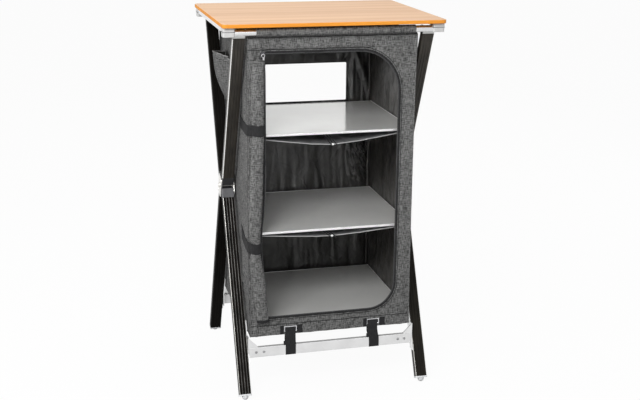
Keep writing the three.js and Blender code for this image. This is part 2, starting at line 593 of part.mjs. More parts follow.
function rolledDoor() {
  const y = -(WALL_Y + FABRIC + SEAT + ROLL_HALF_DEPTH);
  const ring = (t) => {
    const z = ROLL_TOP[1] + (ROLL_BOTTOM[1] - ROLL_TOP[1]) * t;
    const x = ROLL_TOP[0] + (ROLL_BOTTOM[0] - ROLL_TOP[0]) * t;
    const drawn = Math.max(...ROLL_TIES.map((tie) => Math.exp(-(((z - tie) / TIE_REACH) ** 2))));
    return { x, z, size: 1 - TIE_DRAW_SHARE * drawn };
  };
  const positions = [];
  for (let j = 0; j <= ROLL_RINGS; j += 1) {
    const { x, z, size } = ring(j / ROLL_RINGS);
    for (let i = 0; i < ROLL_SIDES; i += 1) {
      const angle = i / ROLL_SIDES * 2 * Math.PI;
      const outX = ROLL_HALF_WIDTH * size * Math.cos(angle);
      const outY = ROLL_HALF_DEPTH * size * Math.sin(angle);
      positions.push(x + outX, y + outY, z);
    }
  }
  const triangles = [];
  const at = (i, j) => j * ROLL_SIDES + (i % ROLL_SIDES);
  for (let j = 0; j < ROLL_RINGS; j += 1) {
    for (let i = 0; i < ROLL_SIDES; i += 1) {
      triangles.push(at(i, j), at(i, j + 1), at(i + 1, j + 1));
      triangles.push(at(i, j), at(i + 1, j + 1), at(i + 1, j));
    }
  }
  for (let i = 1; i < ROLL_SIDES - 1; i += 1) {
    triangles.push(at(0, 0), at(i, 0), at(i + 1, 0));
    triangles.push(at(0, ROLL_RINGS), at(i + 1, ROLL_RINGS), at(i, ROLL_RINGS));
  }
  return new wasm.Manifold(new wasm.Mesh({
    numProp: 3,
    vertProperties: new Float32Array(positions),
    triVerts: new Uint32Array(triangles),
  }));
}
add(cupboard, 'rolled_door', rolledDoor(), fabric);

// Side pockets: a pouch on each side wall that gapes at its mouth and tapers to the wall below.
const POCKET_FRONT = -20;
const POCKET_BACK = 118;
const POCKET_DROP = 86;
const POCKET_DEPTH = 139;
const POCKET_MOUTH = PANEL_TOP - POCKET_DROP;
const POCKET_BOTTOM = POCKET_MOUTH - POCKET_DEPTH;
const POCKET_GAPE = 34;
const POCKET_THICK = 1.6;
const POCKET_ROUNDNESS = 0.7;
const POCKET_FLARE = 0.8;

function sidePocket(side) {
  const face = CABINET_HALF_WIDTH + SEAT;
  const point = (u, v) => {
    const gape = POCKET_GAPE * Math.sin(Math.PI * u) ** POCKET_ROUNDNESS * v ** POCKET_FLARE;
    const y = POCKET_FRONT + (POCKET_BACK - POCKET_FRONT) * u;
    const z = POCKET_BOTTOM + (POCKET_MOUTH - POCKET_BOTTOM) * v;
    return [side * (face + POCKET_THICK + gape), y, z];
  };
  const flipped = (u, v) => point(1 - u, v);
  return sheet(side < 0 ? point : flipped, 10, 6, [-side * POCKET_THICK, 0, 0]);
}
for (const [name, side] of SIDES) {
  add(cupboard, `side_pocket_${name}`, sidePocket(side), fabric);
}

// Bottom straps: webbing round the front bottom bar and up to a wire buckle on the front panel's hem.
const STRAP_INSETS = [113, 110];
const STRAP_XS = [
  ['left', -CABINET_HALF_WIDTH + STRAP_INSETS[0]],
  ['right', CABINET_HALF_WIDTH - STRAP_INSETS[1]],
];
const STRAP_WIDTH = 28;
const STRAP_THICK = 1.8;
const STRAP_RISE = 22;
const STRAP_TAIL_DROP = 8;
const STRAP_TOP = CABINET_BOTTOM + STRAP_RISE;
const STRAP_TAIL_TOP = CABINET_BOTTOM - STRAP_TAIL_DROP;
const BUCKLE_WIDTH = 36;
const BUCKLE_HEIGHT = 16;
const BUCKLE_WIRE = 3;
const BUCKLE_OVER_STRAP = 2;
const BUCKLE_TOP = STRAP_TOP + BUCKLE_OVER_STRAP;

function bottomStrap(x) {
  const barFront = -(LOW_BAR_Y + LOW_BAR_DEPTH / 2) - SEAT;
  const barBack = barFront + LOW_BAR_DEPTH + 2 * SEAT;
  const barLow = LOW_BAR_Z - SEAT;
  const [front, back, low] = [barFront - STRAP_THICK, barBack + STRAP_THICK, barLow - STRAP_THICK];
  const outline = [
    [front, STRAP_TOP], [front, low], [back, low], [back, STRAP_TAIL_TOP],
    [barBack, STRAP_TAIL_TOP], [barBack, barLow], [barFront, barLow], [barFront, STRAP_TOP],
  ].map(([y, z]) => new THREE.Vector2(y, z));
  return plateAlong(outline, x - STRAP_WIDTH / 2, x + STRAP_WIDTH / 2);
}

function buckle(x) {
  const [halfX, low] = [BUCKLE_WIDTH / 2, BUCKLE_TOP - BUCKLE_HEIGHT];
  const ring = rectangle(x - halfX, x + halfX, low, BUCKLE_TOP);
  const inner = halfX - BUCKLE_WIRE;
  const gap = rectangle(x - inner, x + inner, low + BUCKLE_WIRE, BUCKLE_TOP - BUCKLE_WIRE);
  const face = -(WALL_Y + FABRIC + SEAT);
  return plateAcross(ring, face - BUCKLE_WIRE, face, [gap]);
}
for (const [name, x] of STRAP_XS) {
  add(cupboard, `bottom_strap_${name}`, bottomStrap(x), darkFabric);
  add(cupboard, `strap_buckle_${name}`, buckle(x), silver);
}

// The zip's slider with its pull, on the straight run at the top of the door.
const SLIDER_PAST_CORNER = 2;
const SLIDER_X = DOOR_LEFT - SLIDER_PAST_CORNER;
const SLIDER_WIDTH = 11;
const SLIDER_HEIGHT = 9;
const SLIDER_THICK = 4;
const PULL_WIDTH = 6;
const PULL_LENGTH = 22;
const PULL_THICK = 1.8;

function zipSlider() {
  const face = -(WALL_Y + FABRIC + SEAT);
  const front = face - SLIDER_THICK;
  const low = DOOR_TOP - SLIDER_HEIGHT / 2;
  const across = (width) => [SLIDER_X - width / 2, SLIDER_X + width / 2];
  const body = box(...across(SLIDER_WIDTH), front, face, low, low + SLIDER_HEIGHT);
  const pull = box(...across(PULL_WIDTH), front, front + PULL_THICK, low - PULL_LENGTH, low + PULL_THICK);
  return body.add(pull);
}
add(cupboard, 'zip_slider', zipSlider(), silver);

export default cupboard;
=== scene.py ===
"""A folding camping cupboard: wooden worktop, two scissor frames of black half-legs and a grey
cloth cabinet between them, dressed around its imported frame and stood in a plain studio."""
import math

import bmesh
import bpy
from mathutils import Matrix, Vector, noise


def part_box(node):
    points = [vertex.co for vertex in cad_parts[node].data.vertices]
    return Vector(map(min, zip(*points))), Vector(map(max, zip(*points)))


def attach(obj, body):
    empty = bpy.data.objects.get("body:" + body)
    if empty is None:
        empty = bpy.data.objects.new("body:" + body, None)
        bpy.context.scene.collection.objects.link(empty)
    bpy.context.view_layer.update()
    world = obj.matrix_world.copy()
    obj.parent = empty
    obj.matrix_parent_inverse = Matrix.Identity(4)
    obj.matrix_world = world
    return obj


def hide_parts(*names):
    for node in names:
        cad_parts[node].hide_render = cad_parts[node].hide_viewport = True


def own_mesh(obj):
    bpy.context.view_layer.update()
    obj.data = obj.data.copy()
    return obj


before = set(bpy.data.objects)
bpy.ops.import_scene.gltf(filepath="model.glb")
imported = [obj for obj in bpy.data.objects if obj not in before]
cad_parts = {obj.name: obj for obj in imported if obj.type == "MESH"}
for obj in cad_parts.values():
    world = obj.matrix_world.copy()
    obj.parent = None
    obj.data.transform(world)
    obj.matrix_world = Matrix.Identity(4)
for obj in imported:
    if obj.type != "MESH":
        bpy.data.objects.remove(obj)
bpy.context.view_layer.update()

# --- Camera ---
# A short telephoto lens three metres off, left of the front and a little above the worktop,
# looking slightly down.
CAMERA_PLACE = (-0.7702, -3.0775, 1.3971)
CAMERA_TURN, CAMERA_TILT, CAMERA_ROLL = (math.radians(a) for a in (15.018, 16.109, 0.629))

scene = bpy.context.scene
lens = bpy.data.cameras.new("camera")
lens.sensor_width, lens.lens = 36, 63.91
lens.shift_x, lens.shift_y = -0.01875, 0.0014
camera = bpy.data.objects.new("camera", lens)
camera.matrix_world = (
    Matrix.Translation(CAMERA_PLACE) @ Matrix.Rotation(-CAMERA_TURN, 4, "Z")
    @ Matrix.Rotation(math.pi / 2 - CAMERA_TILT, 4, "X") @ Matrix.Rotation(CAMERA_ROLL, 4, "Z")
)
scene.collection.objects.link(camera)
scene.camera = camera

# --- Studio ---
# A white floor that keeps a faint shadow, a white surround, six broad soft lights, and a
# narrow soft one that reaches into the middle compartment.
SURROUND_ON_CLOTH, SURROUND_SEEN = 0.50, 1.0
PAPER_GLOW, PAPER_GLOW_SHARE = 1.10, 0.86
CUPBOARD, COMPARTMENT = (0, 0, 0.55), (0.13, 0.2, 0.57)
STUDIO_LIGHTS = {
    "key": ((-1.6, -2.2, 2.2), 1.2, 49),
    "front": ((-0.8, -2.9, 2.6), 1.4, 37),
    "left": ((-3.0, -0.9, 1.5), 1.3, 26),
    "top": ((-0.2, 0.1, 3.1), 1.5, 2),
    "back": ((0.6, 2.8, 2.5), 1.8, 13),
    "right": ((3.0, 0.9, 1.7), 1.3, 14),
}


def new_finish(name, colour, roughness, metallic=0.0, **sockets):
    """A material whose shader has these plain settings, before its pattern is added."""
    finish = bpy.data.materials.new(name)
    finish.use_nodes = True
    shader = finish.node_tree.nodes["Principled BSDF"]
    shader.inputs["Base Color"].default_value = (*colour, 1)
    shader.inputs["Roughness"].default_value = roughness
    shader.inputs["Metallic"].default_value = metallic
    for socket, value in sockets.items():
        shader.inputs[socket.replace("_", " ")].default_value = value
    return finish


def add(finish, kind, feeds, **settings):
    """Adds a node to a material, fed by sockets or plain values, and gives its first output."""
    made = finish.node_tree.nodes.new("ShaderNode" + kind)
    for setting, value in settings.items():
        setattr(made, setting, value)
    for socket, value in feeds.items():
        if isinstance(value, bpy.types.NodeSocket):
            finish.node_tree.links.new(value, made.inputs[socket])
        else:
            made.inputs[socket].default_value = value
    return made.outputs[0]


def maths(finish, operation, *values):
    """Adds a maths node that works on sockets or plain numbers."""
    return add(finish, "Math", dict(enumerate(values)), operation=operation)


def ranged(finish, value, low, high, first=0.0, last=1.0, **settings):
    """Carries a number over from one range to another."""
    return add(finish, "MapRange", {
        "Value": value, "From Min": low, "From Max": high, "To Min": first, "To Max": last,
    }, **settings)


def seen_directly(finish):
    """1 for what the camera sees itself, in metal or through glass, and 0 for light on cloth."""
    rays = finish.node_tree.nodes.new("ShaderNodeLightPath").outputs
    mirrored = maths(finish, "MAXIMUM", rays["Is Camera Ray"], rays["Is Glossy Ray"])
    return maths(finish, "MAXIMUM", mirrored, rays["Is Transmission Ray"])


def lit(name, place, target, size, power):
    """A soft lamp at a place, turned to its target."""
    lamp = bpy.data.lights.new(name, "AREA")
    lamp.size, lamp.energy = size, power
    holder = bpy.data.objects.new(name, lamp)
    aim = (Vector(target) - Vector(place)).to_track_quat("-Z", "Y").to_matrix().to_4x4()
    holder.matrix_world = Matrix.Translation(place) @ aim
    scene.collection.objects.link(holder)
    return lamp


scene.view_settings.view_transform = "Standard"
world = bpy.data.worlds.new("surround")
scene.world = world
world.use_nodes = True
backdrop = world.node_tree.nodes["Background"]
backdrop.inputs["Color"].default_value = (1, 1, 1, 1)
brightness = ranged(world, seen_directly(world), 0.0, 1.0, SURROUND_ON_CLOTH, SURROUND_SEEN)
world.node_tree.links.new(brightness, backdrop.inputs["Strength"])

bpy.ops.mesh.primitive_plane_add(size=60, location=(0, 0, 0))
floor = bpy.context.object
floor.name = "studio_floor"
paper = new_finish("floor_paper", (0.3, 0.3, 0.3), 0.9, Specular_IOR_Level=0.0)
paper_nodes = paper.node_tree.nodes
shown = add(paper, "MixShader", {
    "Fac": maths(paper, "MULTIPLY", seen_directly(paper), PAPER_GLOW_SHARE),
    1: paper_nodes["Principled BSDF"].outputs[0],
    2: add(paper, "Emission", {"Strength": PAPER_GLOW}),
})
paper.node_tree.links.new(shown, paper_nodes["Material Output"].inputs["Surface"])
floor.data.materials.append(paper)

for name, (place, size, power) in STUDIO_LIGHTS.items():
    lit(name, place, CUPBOARD, size, power)
lit("narrow", (-0.5, -3.0, 1.25), COMPARTMENT, 0.4, 0.16).spread = math.radians(14)

# --- Ball feet ---
# Pale plastic balls pressed into the open ends of the four lower half-legs. Each stands in a
# collar of the same plastic that closes the end of the leg.
FOOT_X, FOOT_Y, FOOT_Z, FOOT_R, FOOT_WORN = 0.255, 0.258, 0.0085, 0.009, 0.0002
SIDES = (("left", -1), ("right", 1))
NOISE_SPAN = (0.3, 0.7)


def alone(*pieces):
    """Leaves edit mode and selects these pieces only, the first of them as the active one."""
    if bpy.context.mode != "OBJECT":
        bpy.ops.object.mode_set(mode="OBJECT")
    bpy.ops.object.select_all(action="DESELECT")
    for piece in reversed(pieces):
        piece.select_set(True)
        bpy.context.view_layer.objects.active = piece


def start(name, primitive, **sizes):
    """A primitive at its size and place, selected alone, ready to shape."""
    alone()
    primitive(**sizes)
    piece = bpy.context.object
    piece.name = piece.data.name = name
    bpy.ops.object.transform_apply(location=True, rotation=True, scale=True)
    return piece


def pick(piece, kind, wanted):
    """Picks, in edit mode, the faces, edges or points of a piece that are wanted."""
    if bpy.context.mode != "EDIT_MESH":
        bpy.ops.object.mode_set(mode="EDIT")
    bpy.ops.mesh.select_mode(type=kind)
    bpy.ops.mesh.select_all(action="DESELECT")
    cage = bmesh.from_edit_mesh(piece.data)
    cage.normal_update()
    for part in {"VERT": cage.verts, "EDGE": cage.edges, "FACE": cage.faces}[kind]:
        if wanted(part):
            part.select_set(True)
    cage.select_flush_mode()
    bmesh.update_edit_mesh(piece.data)


def smooth(piece, angle=35):
    """Shades a finished shape smooth, apart from edges that turn by more than an angle."""
    alone(piece)
    bpy.ops.object.shade_smooth_by_angle(angle=math.radians(angle))
    flats = piece.modifiers.new("flats", "WEIGHTED_NORMAL")
    flats.keep_sharp = True
    bpy.ops.object.modifier_apply(modifier=flats.name)


def copied(piece, name, place=Matrix()):
    """A copy of a finished shape with its own mesh, moved by a matrix."""
    twin = piece.copy()
    twin.data = piece.data.copy()
    twin.name = twin.data.name = name
    twin.data.transform(place)
    scene.collection.objects.link(twin)
    return twin


def fit(piece, finishes, body, slot, *nodes):
    """Gives a finished piece its material or materials, its body and what it stands for."""
    for finish in finishes:
        piece.data.materials.append(finish)
    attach(piece, body)
    if nodes:
        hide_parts(*nodes)
    return piece


def feed(finish, socket, value):
    """Links a value to a material's shader."""
    finish.node_tree.links.new(value, finish.node_tree.nodes["Principled BSDF"].inputs[socket])


def grain(finish, stretch, detail=2.0, source="Object"):
    """Noise over a piece, with features about 1 / stretch metres long on each axis."""
    where = finish.node_tree.nodes.new("ShaderNodeTexCoord").outputs[source]
    placed = add(finish, "Mapping", {"Vector": where, "Scale": stretch})
    return add(finish, "TexNoise", {"Vector": placed, "Scale": 1.0, "Detail": detail})


def mixed(finish, share, first, second):
    """The first colour or pattern, with a share of the second."""
    return add(finish, "MixRGB", {"Fac": share, "Color1": first, "Color2": second})


def between(finish, pattern, dark, light):
    """A colour that runs from dark to light over the span where noise lies."""
    return mixed(finish, ranged(finish, pattern, *NOISE_SPAN), (*dark, 1), (*light, 1))


def toned(finish, tint, dark, light, sheen, low, high):
    """Lets one pattern vary the colour, and the same or another one the roughness."""
    feed(finish, "Base Color", between(finish, tint, dark, light))
    feed(finish, "Roughness", ranged(finish, sheen, *NOISE_SPAN, low, high))


def bumped(finish, height, distance, strength=0.6):
    """Lets a pattern bend the light as if it stood up by a distance."""
    feed(finish, "Normal", add(finish, "Bump", {
        "Height": height, "Distance": distance, "Strength": strength,
    }))


def moulded(name, dark, light, roughness):
    """Moulded plastic: a fine spark-eroded grain, with slight changes of tone and gloss."""
    finish = new_finish(name, light, roughness)
    cloud = grain(finish, (60, 60, 60), 4)
    toned(finish, cloud, dark, light, cloud, roughness + 0.06, roughness - 0.06)
    bumped(finish, grain(finish, (2200, 2200, 2200)), 0.0001)
    return finish


foot_plastic = moulded("foot_plastic", (0.6, 0.61, 0.62), (0.74, 0.75, 0.76), 0.3)
ball_shape = start(
    "ball_shape", bpy.ops.mesh.primitive_uv_sphere_add, segments=40, ring_count=24,
    radius=FOOT_R, location=(0, 0, FOOT_Z),
)
pick(ball_shape, "FACE", lambda face: True)
bpy.ops.mesh.bisect(
    plane_co=(0, 0, FOOT_WORN), plane_no=(0, 0, 1), clear_inner=True, use_fill=True,
)
smooth(ball_shape)
for end, y, body in (("front", -FOOT_Y, "front_feet"), ("rear", FOOT_Y, "rear_foot_frame")):
    for side, sign in SIDES:
        place = Matrix.Translation((sign * FOOT_X, y, 0))
        ball = copied(ball_shape, f"ball_foot_{end}_{side}", place)
        fit(ball, [foot_plastic], body, "grey_plastic", f"foot_{end}_{side}")
bpy.data.objects.remove(ball_shape)

# --- Half-legs ---
# Eight lengths of the same extruded alloy box section, anodised black, with three flutes down
# the front face. The front ones have painted highlights on their edges, on the upper ones the
# outer edges only, and on the flutes of the lower left one. The rear ones and the lower front
# ones take darker copies of the finish, with painted shade.
TILT = math.radians(24.622942)
HUB = Vector((0, 0, 0.5450239))
LEG_X, LEG_OFFSET = 0.255, 0.011
LEG_HALF_WIDTH, LEG_HALF_DEPTH, LEG_CORNER = 0.0165, 0.010, 0.0024
LEG_START, UPPER_TOP, LOWER_END = 0.0403, 0.4965, 0.59049
FLUTES, FLUTE_HALF, FLUTE_DEEP = (-0.008, 0.0, 0.008), 0.0011, 0.0009
EDGE_FROM, EDGE_CUT = 0.0135, 0.0048
COLLAR_X, COLLAR_Y, COLLAR_OUT, COLLAR_IN = 0.0169, 0.0104, 0.0032, 0.0018
ENDS = (
    ("front", -1, "rear_foot_frame", "front_foot_frame", TILT),
    ("rear", 1, "front_foot_frame", "rear_foot_frame", -TILT),
)


def block(name, low, high):
    """A cube between two corners, as a start."""
    middle = [(a + b) / 2 for a, b in zip(low, high)]
    size = [b - a for a, b in zip(low, high)]
    return start(name, bpy.ops.mesh.primitive_cube_add, size=1, location=middle, scale=size)


def along(axis, least):
    """Wants the edges that run further than least along x, y or z, given as 0, 1 or 2."""
    return lambda edge: abs(edge.verts[0].co[axis] - edge.verts[1].co[axis]) > least


def sharper(angle):
    """Wants the edges that turn by more than an angle."""
    return lambda edge: edge.calc_face_angle(0) > angle


def round_edges(piece, radius, segments=2, wanted=sharper(0.5)):
    """Rounds the wanted edges, or else every sharp one."""
    pick(piece, "EDGE", wanted)
    bpy.ops.mesh.bevel(offset=radius, segments=segments, profile=0.5, affect="EDGES")


def bar_stock(name, low, high, *rounds):
    """A block with edges rounded in turn, each by a radius, segments and the wanted edges."""
    piece = block(name, low, high)
    for each in rounds:
        round_edges(piece, *each)
    smooth(piece)
    return piece


def in_frame(tilt, x=0.0, y=0.0):
    """The place of something drawn upright at the pivot, in a frame that leans by tilt."""
    turned = Matrix.Rotation(tilt, 4, "X") @ Matrix.Translation((0, y, 0))
    return Matrix.Translation(HUB + Vector((x, 0, 0))) @ turned


def half_leg(name, low, high):
    """A length of the section along the upright at the pivot, its flutes in front."""
    front = -LEG_HALF_DEPTH
    leg = block(name, (-LEG_HALF_WIDTH, front, low), (LEG_HALF_WIDTH, LEG_HALF_DEPTH, high))
    round_edges(leg, LEG_CORNER, 4, along(2, 0.1))
    for centre in FLUTES:
        for x in (centre - FLUTE_HALF, centre, centre + FLUTE_HALF):
            pick(leg, "FACE", lambda face: face.normal.y < -0.99)
            bpy.ops.mesh.bisect(plane_co=(x, 0, 0), plane_no=(1, 0, 0))
    pick(leg, "VERT", lambda point: point.co.y < front + 1e-5
         and any(abs(point.co.x - centre) < 1e-5 for centre in FLUTES))
    bpy.ops.transform.translate(value=(0, FLUTE_DEEP, 0))
    pick(leg, "FACE", lambda face: abs(face.normal.x) > 0.99)
    bpy.ops.mesh.bisect(plane_co=(0, front + EDGE_CUT, 0), plane_no=(0, 1, 0))
    smooth(leg, 30)
    return leg


def anodised(name, dark, light, roughness, metallic=0.0, **sockets):
    """Anodised extrusion: drawn streaks along the leg and a few pale rub marks."""
    finish = new_finish(name, dark, roughness, metallic, **sockets)
    streaks = grain(finish, (900, 900, 6), 3)
    rubbed = grain(finish, (45, 45, 9), 5)
    toned(finish, rubbed, dark, light, streaks, roughness - 0.08, roughness + 0.08)
    bumped(finish, streaks, 0.00008, 0.4)
    return finish


black_anodised = anodised(
    "black_anodised", (0.014, 0.012, 0.009), (0.032, 0.027, 0.021), 0.4, Specular_IOR_Level=0.35,
)
# A darker copy of the black anodised finish, painted shade, for the rear half-legs and the lower
# front left one.
shaded_anodised = anodised(
    "shaded_anodised", (0.003, 0.0028, 0.0022), (0.007, 0.006, 0.005), 0.42,
    Specular_IOR_Level=0.03,
)
# A less dark copy, painted shade, for the lower front right half-leg.
half_shaded_anodised = anodised(
    "half_shaded_anodised", (0.0075, 0.0065, 0.0048), (0.0155, 0.013, 0.0095), 0.42,
    Specular_IOR_Level=0.10,
)
# Painted highlights: bright metal on the front edges and flutes of the front legs, where the lamps
# catch them.
painted_flute_sheen = anodised("painted_flute_sheen", (0.04, 0.039, 0.037), (0.14, 0.136, 0.128), 0.38, 0.7)
painted_edge_sheen = anodised("painted_edge_sheen", (0.42, 0.41, 0.39), (0.62, 0.61, 0.58), 0.33, 0.7)
painted_bright_edge = anodised("painted_bright_edge", (0.78, 0.77, 0.75), (0.9, 0.89, 0.87), 0.3, 0.7)
upper_shape = half_leg("upper_shape", LEG_START, UPPER_TOP)
lower_shape = half_leg("lower_shape", -LOWER_END, -LEG_START)
collar_shape = bar_stock(
    "collar_shape", (-COLLAR_X, -COLLAR_Y, -LOWER_END - COLLAR_OUT),
    (COLLAR_X, COLLAR_Y, -LOWER_END + COLLAR_IN), (0.0022, 3, along(2, 0.004)), (0.0007, 2),
)
for end, face, upper_body, lower_body, tilt in ENDS:
    for side, sign in SIDES:
        upper = copied(upper_shape, f"upper_half_leg_{end}_{side}")
        # Painted highlight on the outer front edges of the upper front half-legs.
        for polygon in upper.data.polygons:
            at_edge = abs(polygon.center.x) > EDGE_FROM and polygon.normal.x * sign > 0.3
            in_front = polygon.center.y < -LEG_HALF_DEPTH + EDGE_CUT
            polygon.material_index = int(end == "front" and at_edge and in_front)
        upper.data.transform(in_frame(tilt, sign * LEG_X, face * LEG_OFFSET))
        # The rear upper half-legs take the copy with painted shade.
        dark = black_anodised if end == "front" else shaded_anodised
        fit(upper, [dark, painted_bright_edge], upper_body, "black_alloy", f"upper_leg_{end}_{side}")
        lower = copied(lower_shape, f"lower_half_leg_{end}_{side}")
        # Painted highlights on the front edges of the lower front half-legs and on the flutes of
        # the left one.
        for polygon in lower.data.polygons:
            slanted = abs(polygon.normal.x) > 0.35 and polygon.normal.y < -0.35
            at_edge = abs(polygon.center.x) > EDGE_FROM
            if end == "front" and slanted and (at_edge or side == "left"):
                polygon.material_index = 1 if at_edge else 2
        below = in_frame(-tilt, sign * LEG_X, face * LEG_OFFSET)
        lower.data.transform(below)
        # Lower half-legs take the copies with painted shade.
        dark = half_shaded_anodised if (end, side) == ("front", "right") else shaded_anodised
        fit(lower, [dark, painted_edge_sheen, painted_flute_sheen], lower_body, "black_alloy",
            f"lower_leg_{end}_{side}")
        collar = copied(collar_shape, f"foot_collar_{end}_{side}", below)
        fit(collar, [foot_plastic], lower_body, "grey_plastic")
for shape in (upper_shape, lower_shape, collar_shape):
    bpy.data.objects.remove(shape)

# --- Pivots ---
# Moulded caps close the half-legs at the pivot. Two riveted alloy plates on each side join a
# frame's half-legs, and a bolt with a round head goes through both plates.
CAP_FROM, CAP_TO, CAP_X, CAP_Y = 0.014, 0.040, 0.0167, 0.0102
PLATE_OUT, PLATE_IN, PLATE_THICK = 0.2718, 0.2382, 0.0026
PLATE_HALF_WIDTH, PLATE_HALF_LENGTH, PLATE_CORNER = 0.020, 0.031, 0.008
RIVET_R, RIVET_AT = 0.0045, 0.023
PANEL_RIM, PANEL_DEEP = 0.003, 0.0005
BOLT_R, HEAD_R, HOLLOW_RIM, HOLLOW_DEEP = 0.004, 0.007, 0.0032, 0.0012
SHANK_X, SHANK_LONG, HEAD_X, HEAD_LONG = 0.2545, 0.047, 0.2758, 0.0022
WASHER_X, WASHER_LONG, WORN_EDGE = 0.2335, 0.0034, 0.0004
ACROSS = (0, math.pi / 2, 0)


def pivot_cap(name, low, high):
    """A cap with a sunk panel in front and behind."""
    cap = block(name, (-CAP_X, -CAP_Y, low), (CAP_X, CAP_Y, high))
    round_edges(cap, LEG_CORNER, 4, along(2, 0.02))
    round_edges(cap, 0.0008, 2, sharper(1.0))
    pick(cap, "FACE", lambda face: abs(face.normal.y) > 0.99 and face.calc_area() > 0.0003)
    bpy.ops.mesh.inset(thickness=PANEL_RIM)
    bpy.ops.transform.shrink_fatten(value=-PANEL_DEEP)
    smooth(cap)
    return cap


def joined(*pieces):
    """Several shapes made into one, shaded as one."""
    alone(*pieces)
    bpy.ops.object.join()
    smooth(pieces[0])
    return pieces[0]


def plate(name, near, far, lean):
    """A hinge plate with its two rivets. lean is +1 when its upper half-leg stands behind."""
    low, high = sorted((near, far))
    leaf = block(
        name, (low, -PLATE_HALF_WIDTH, -PLATE_HALF_LENGTH),
        (high, PLATE_HALF_WIDTH, PLATE_HALF_LENGTH),
    )
    round_edges(leaf, PLATE_CORNER, 6, along(0, 0.002))
    round_edges(leaf, 0.0005, 2)
    return joined(leaf, *[
        start(
            f"{name}_rivet", bpy.ops.mesh.primitive_uv_sphere_add, segments=24, ring_count=12,
            radius=RIVET_R, scale=(0.4, 1, 1),
            location=(far, half * lean * LEG_OFFSET, half * RIVET_AT),
        )
        for half in (-1, 1)
    ])


def rod(name, radius, length, middle, direction, vertices=32):
    """A cylinder that lies across or forward, as a start."""
    return start(
        name, bpy.ops.mesh.primitive_cylinder_add, vertices=vertices, radius=radius,
        depth=length, location=middle, rotation=direction,
    )


def pivot_bolt(name, sign):
    """A bolt with a hollow round head outside and a washer inside."""
    shank = rod(name, BOLT_R, SHANK_LONG, (sign * SHANK_X, 0, 0), ACROSS)
    head = rod(f"{name}_head", HEAD_R, HEAD_LONG, (sign * HEAD_X, 0, 0), ACROSS)
    pick(head, "FACE", lambda face: face.normal.x * sign > 0.9)
    bpy.ops.mesh.inset(thickness=HOLLOW_RIM)
    bpy.ops.transform.translate(value=(-sign * HOLLOW_DEEP, 0, 0))
    washer = rod(f"{name}_washer", HEAD_R, WASHER_LONG, (sign * WASHER_X, 0, 0), ACROSS)
    for part in (head, washer):
        alone(part)
        round_edges(part, WORN_EDGE)
    return joined(shank, head, washer)


def satin_metal(name, colour, roughness, stretch, metallic=1.0):
    """Satin alloy: fine brushed lines, stretched along the piece, and faint handling marks."""
    finish = new_finish(name, colour, roughness, metallic)
    lines = grain(finish, stretch, 3)
    marks = grain(finish, (25, 25, 25), 4)
    darker = [0.9 * c for c in colour]
    toned(finish, marks, darker, colour, lines, roughness - 0.06, roughness + 0.08)
    bumped(finish, lines, 0.00006, 0.4)
    return finish


cap_black = moulded("cap_black", (0.016, 0.016, 0.017), (0.024, 0.024, 0.025), 0.42)
cap_grey = moulded("cap_grey", (0.055, 0.055, 0.06), (0.075, 0.075, 0.08), 0.45)
plate_alloy = satin_metal("plate_alloy", (0.83, 0.82, 0.79), 0.28, (1500, 1500, 30))
upper_cap = pivot_cap("upper_cap", CAP_FROM, CAP_TO)
lower_cap = copied(upper_cap, "lower_cap", Matrix.Translation((0, 0, -CAP_FROM - CAP_TO)))
for end, face, upper_body, lower_body, tilt in ENDS:
    for side, sign in SIDES:
        for half, shape, lean, finish, body in (
            ("upper", upper_cap, tilt, cap_black, upper_body),
            ("lower", lower_cap, -tilt, cap_grey, lower_body),
        ):
            place = in_frame(lean, sign * LEG_X, face * LEG_OFFSET)
            cap = copied(shape, f"pivot_cap_{half}_{end}_{side}", place)
            fit(cap, [finish], body, "black_plastic", f"{half}_cap_{end}_{side}")
for shape in (upper_cap, lower_cap):
    bpy.data.objects.remove(shape)
for side, sign in SIDES:
    for piece, lean, body, node in (
        (plate(f"outer_plate_{side}", sign * PLATE_OUT, sign * (PLATE_OUT + PLATE_THICK), -1),
         TILT, "rear_foot_frame", f"outer_hinge_plate_{side}"),
        (plate(f"inner_plate_{side}", sign * PLATE_IN, sign * (PLATE_IN - PLATE_THICK), 1),
         -TILT, "front_foot_frame", f"inner_hinge_plate_{side}"),
        (pivot_bolt(f"hinge_bolt_{side}", sign), -TILT, "front_foot_frame", f"pivot_bolt_{side}"),
    ):
        piece.data.transform(in_frame(lean))
        fit(piece, [plate_alloy], body, "silver", node)

# --- Top bars ---
# A round satin tube across each pair of upper half-legs. It lies in an alloy saddle on each
# leg's end and is held by a small dark bolt through the top.
BAR_Y, BAR_Z, BAR_R, BAR_HALF = 0.222, 1.003, 0.009, 0.280
TUBE_WALL, TUBE_HOLLOW = 0.0015, 0.03
SADDLE_Y, SADDLE_LOW, SADDLE_HIGH = 0.0085, 0.0003, 0.0078
TUBE_BOLT_X, TUBE_BOLT_R, DOME_FLAT = 0.237, 0.0036, 0.0012
saddle_alloy = satin_metal("saddle_alloy", (0.5, 0.5, 0.49), 0.35, (900, 900, 900))
tube_alloy = satin_metal("tube_alloy", (0.74, 0.74, 0.74), 0.26, (20, 1400, 1400))
dark_steel = new_finish("dark_steel", (0.4, 0.4, 0.4), 0.4, metallic=1.0)
feed(dark_steel, "Base Color", between(
    dark_steel, grain(dark_steel, (700, 700, 700)), (0.26, 0.26, 0.265), (0.42, 0.42, 0.425),
))
